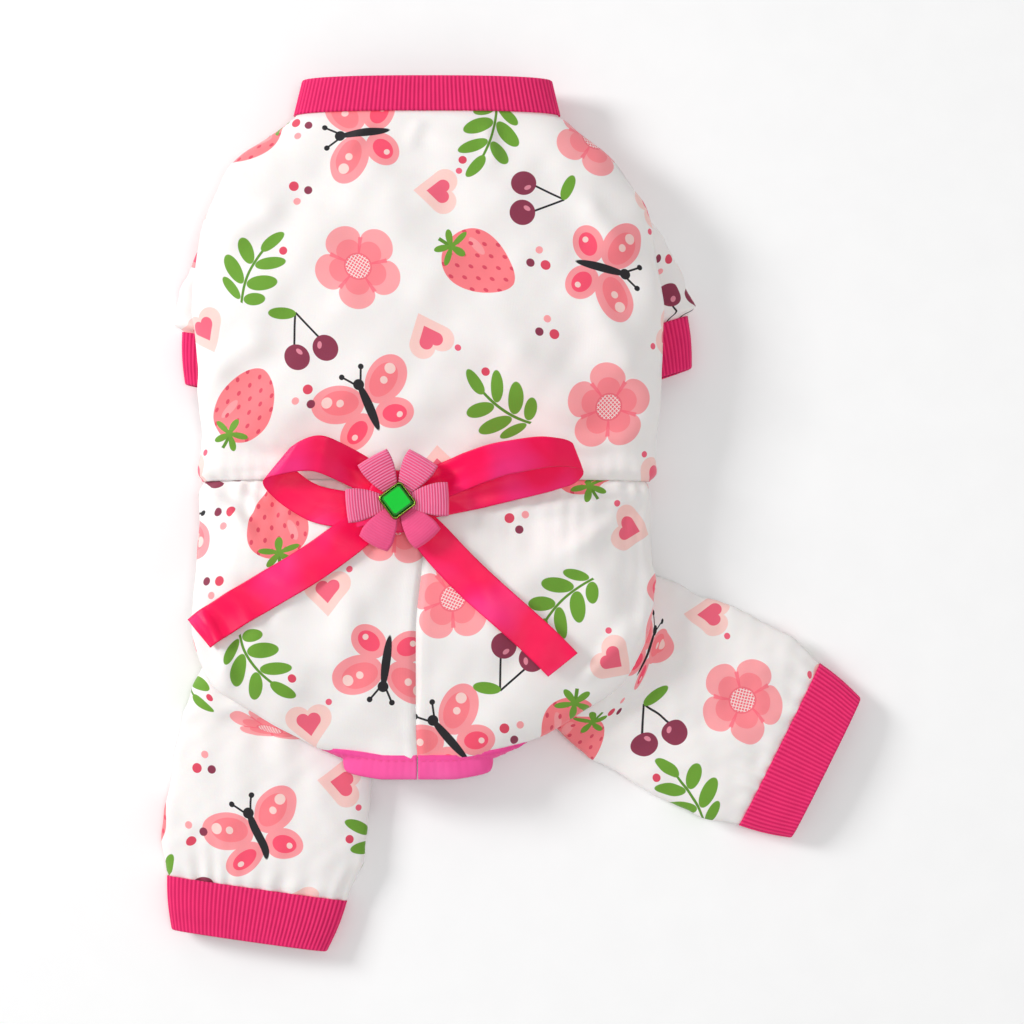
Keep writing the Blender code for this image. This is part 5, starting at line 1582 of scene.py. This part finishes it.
def makePetal(number, degrees):
    # a loop of ribbon pressed flat: out over the top, a tight fold, and back below; ribs run across it
    out, flower = direction(degrees), np.array([bow["x"], bow["y"]])
    across = np.array([-out[1], out[0]])
    plain = number in petal["plain"]
    far, high, start, foot = petal["length"], petal["height"], petal["start"], petal["foot"]
    narrowing, bending, ribShare = petal["kinds"][plain]
    shareRow = np.linspace(0.0, 1.0, 9)
    radiusRow = np.array([start / far, *petal["reach"], start / far]) * far
    s = np.linspace(0.0, 1.0, 500)
    radius, rise = through(shareRow, radiusRow, s), through(shareRow, petal["rise"] * high, s)
    spread = (radius - start) / (far - start)
    width = petal["width"] * (foot + (1.0 - foot) * (1.0 - (1.0 - spread) ** 2.0))
    width = width * (1.0 - narrowing * smooth((spread - 0.74) / 0.26))
    side = np.linspace(-1.0, 1.0, 15)[None, :]
    bend = bending * side**2 * spread[:, None] * far * 0.5
    plan = flower + (radius[:, None] - bend)[..., None] * out
    plan = plan + (width[:, None] * side / 2)[..., None] * across
    crown = petal["crown"] * (1 - side**2) * np.sin(np.clip(s * 2, 0, 1) * math.pi)[:, None]
    tilt = petal["tilt"] * math.sin(number * 2.1) * side * spread[:, None]
    z = flowerLevel() + petal["seat"] + petal["stagger"] * (number % 2) + rise[:, None] + crown
    z = z + tilt * smooth(rise / (0.5 * high))[:, None]
    ribbon = resampled(np.dstack([plan, z]), 156)
    uv = ribbonMap(ribbon)
    uv[..., 0] = uv[:, 7:8, 0]
    ribs = petal["ribDepth"] * ribShare * np.cos(uv[..., 0] * 2 * math.pi / petal["ribPitch"])
    core = np.column_stack([np.broadcast_to(flower + out * 0.7 * far, (len(ribbon), 2)),
                            np.full(len(ribbon), flowerLevel() + 0.5 * high)])
    points = raised(ribbon, core, False, ribs)
    look = materials["petalPlain" if plain else "grosgrain"]
    thing = cloth(f"petal-{number}", points, core, [look], uv, petal["wall"])
    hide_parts(f"petal_{number}")
    declare(thing, ribbon)


gem = {
    "side": 0.0092, "height": 0.0036, "lean": 37.0, "seat": 0.0024,
    # size and height of each ring of the stone, with the share that its corners lose
    "rings": ((0.96, 0.0, 0.16), (1.03, 0.12, 0.16), (1.05, 0.45, 0.16), (0.98, 0.82, 0.20),
              (0.86, 1.0, 0.13)),
    # the setting's section: way out from the stone and height, in millimetres
    "rim": ((0.02, 0.0), (0.7, 0.0), (0.9, 0.5), (0.80, 1.75), (0.55, 2.2), (0.25, 2.2), (0.04, 1.8)),
    "gap": 0.0003, "corner": 0.16, "softEdge": 0.00012,
}


def cutCorners(half, corner):        # eight corners of a turned square whose corners are cut off
    places = []
    for quarter in range(4):
        a = quarter * math.pi / 2
        for x, y in ((half, corner - half), (half, half - corner)):
            places.append((x * math.cos(a) - y * math.sin(a), x * math.sin(a) + y * math.cos(a)))
    lean = math.radians(gem["lean"])
    return np.array(places) @ np.array([[math.cos(lean), math.sin(lean)], [-math.sin(lean), math.cos(lean)]])


def makeGem():
    # table, two rows of eight facets, girdle and a flat base; every facet keeps its own flat shading
    flower, half, seat = np.array([bow["x"], bow["y"]]), gem["side"] / 2, flowerLevel() + gem["seat"]
    rings = np.array([np.column_stack([cutCorners(size * half, corner * size * half) + flower,
                                       np.full(8, seat + rise * gem["height"])])
                      for size, rise, corner in gem["rings"]])
    faces = gridFaces(len(rings), 8, True, False).tolist() + capFaces(len(rings), 8)
    stone = meshObject("green-stone", rings.reshape(-1, 3), faces, [materials["gemShadedSide"], materials["gem"]])
    stone.data.shade_flat()
    # all faces but the table take the darker green, painted shade
    kinds = np.zeros(len(faces), np.int32)
    kinds[-1] = 1
    stone.data.polygons.foreach_set("material_index", kinds)
    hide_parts("gem_stone")
    rim = []
    for size, rise in gem["rim"]:
        out = half + gem["gap"] + size * 0.001
        plan = cutCorners(out, gem["corner"] * out) + flower
        rim.append(np.column_stack([plan, np.full(8, seat + rise * 0.001)]))
    faces = torusFaces(len(rim), 8, True)
    setting = meshObject("stone-setting", np.array(rim).reshape(-1, 3), faces, [materials["gold"]])
    bevel = setting.modifiers.new("soft edges", "BEVEL")
    bevel.width, bevel.segments = gem["softEdge"], 2
    bevel.limit_method, bevel.angle_limit = "ANGLE", math.radians(20)
    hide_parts("gem_rim")


# everything in order, then floor, light and camera

makeBodice()
print("bodice made")
for bodySide in (1, -1):
    makeSeat(bodySide)
    makeBelly(bodySide)
    makeTape(bodySide)
    if bodySide > 0:
        makePlacketStitches()
print("seats, bellies and tape made")
for limbName in limbs:
    makeLimb(limbName)
    makeCuff(limbName, limbName.replace("_", "_cuff_"))
print("legs and cuffs made")
makeNeckband()
for snapNumber, snapStation in enumerate(snap["stations"], 1):
    makeSnap(snapNumber, snapStation)
for bowHand in ("left", "right"):
    makeTail(bowHand)
    makeLoop(bowHand)
makeBacking()
for petalNumber, petalAngle in enumerate(petal["angles"], 1):
    makePetal(petalNumber, petalAngle)
makeGem()
print("bow made")

stage = {
    "floor": 2.4, "floorCells": 8, "low": -0.0006,
    # place, size and power of each light
    "lights": {
        "broad light": ((-1.60, 0.62, 0.88), 0.55, 24.5), "top light": ((0.2, -0.1, 1.6), 0.5, 5.6),
        "fill light": ((1.2, -0.8, 1.0), 1.2, 2.0),
    },
    "surroundings": 0.46,
    "lens": 85.0, "aim": (0.0, 0.0, 0.012), "away": 0.985, "tip": 86.0,
}


def makeFloor():
    # a flat square just under the garment, whose white is a little uneven
    t = np.linspace(-0.5, 0.5, stage["floorCells"] + 1) * stage["floor"]
    x, y = np.meshgrid(t, t)
    points = np.dstack([x, y, np.full(x.shape, stage["low"])])
    material, tree, shader = newMaterial("pale floor", Roughness=0.9, Specular_IOR_Level=0.1)
    swell = noiseAt(tree, tree.nodes.new("ShaderNodeTexCoord").outputs["Object"], 60.0)
    tree.links.new(blendInk(tree, linear("FFFFFF"), linear("FBFBFB"), swell), shader.inputs["Base Color"])
    mesh = bpy.data.meshes.new("floor")
    mesh.from_pydata(points.reshape(-1, 3).tolist(), [], gridFaces(len(t), len(t), False, False).tolist())
    mesh.materials.append(material)
    floor = bpy.data.objects.new("floor", mesh)
    bpy.context.scene.collection.objects.link(floor)


def pointed(thing, place, aim):      # placed and turned towards the aim, as lights and cameras look
    thing.location = place
    thing.rotation_euler = (Vector(aim) - Vector(place)).to_track_quat("-Z", "Y").to_euler()
    bpy.context.scene.collection.objects.link(thing)


def areaLight(name, place, size, power):          # a square lamp that shines at the garment's middle
    data = bpy.data.lights.new(name, "AREA")
    data.energy, data.size = power, size
    pointed(bpy.data.objects.new(name, data), place, (0.0, 0.0, 0.0))


def makeCamera():                    # almost straight down on the back
    data = bpy.data.cameras.new("camera")
    data.lens, data.clip_start, data.clip_end = stage["lens"], 0.02, 20.0
    camera = bpy.data.objects.new("camera", data)
    aim, tip = Vector(stage["aim"]), math.radians(stage["tip"])
    pointed(camera, aim + stage["away"] * Vector((0.0, -math.cos(tip), math.sin(tip))), aim)
    bpy.context.scene.camera = camera


makeFloor()
for lightName, (lightPlace, lightSize, lightPower) in stage["lights"].items():
    areaLight(lightName, lightPlace, lightSize, lightPower)
world = bpy.data.worlds.new("pale surroundings")
world.use_nodes = True
world.node_tree.nodes["Background"].inputs["Color"].default_value = (1.0, 1.0, 1.0, 1.0)
world.node_tree.nodes["Background"].inputs["Strength"].default_value = stage["surroundings"]
bpy.context.scene.world = world
bpy.context.scene.view_settings.view_transform = "Standard"
makeCamera()
print("floor, light and camera set")
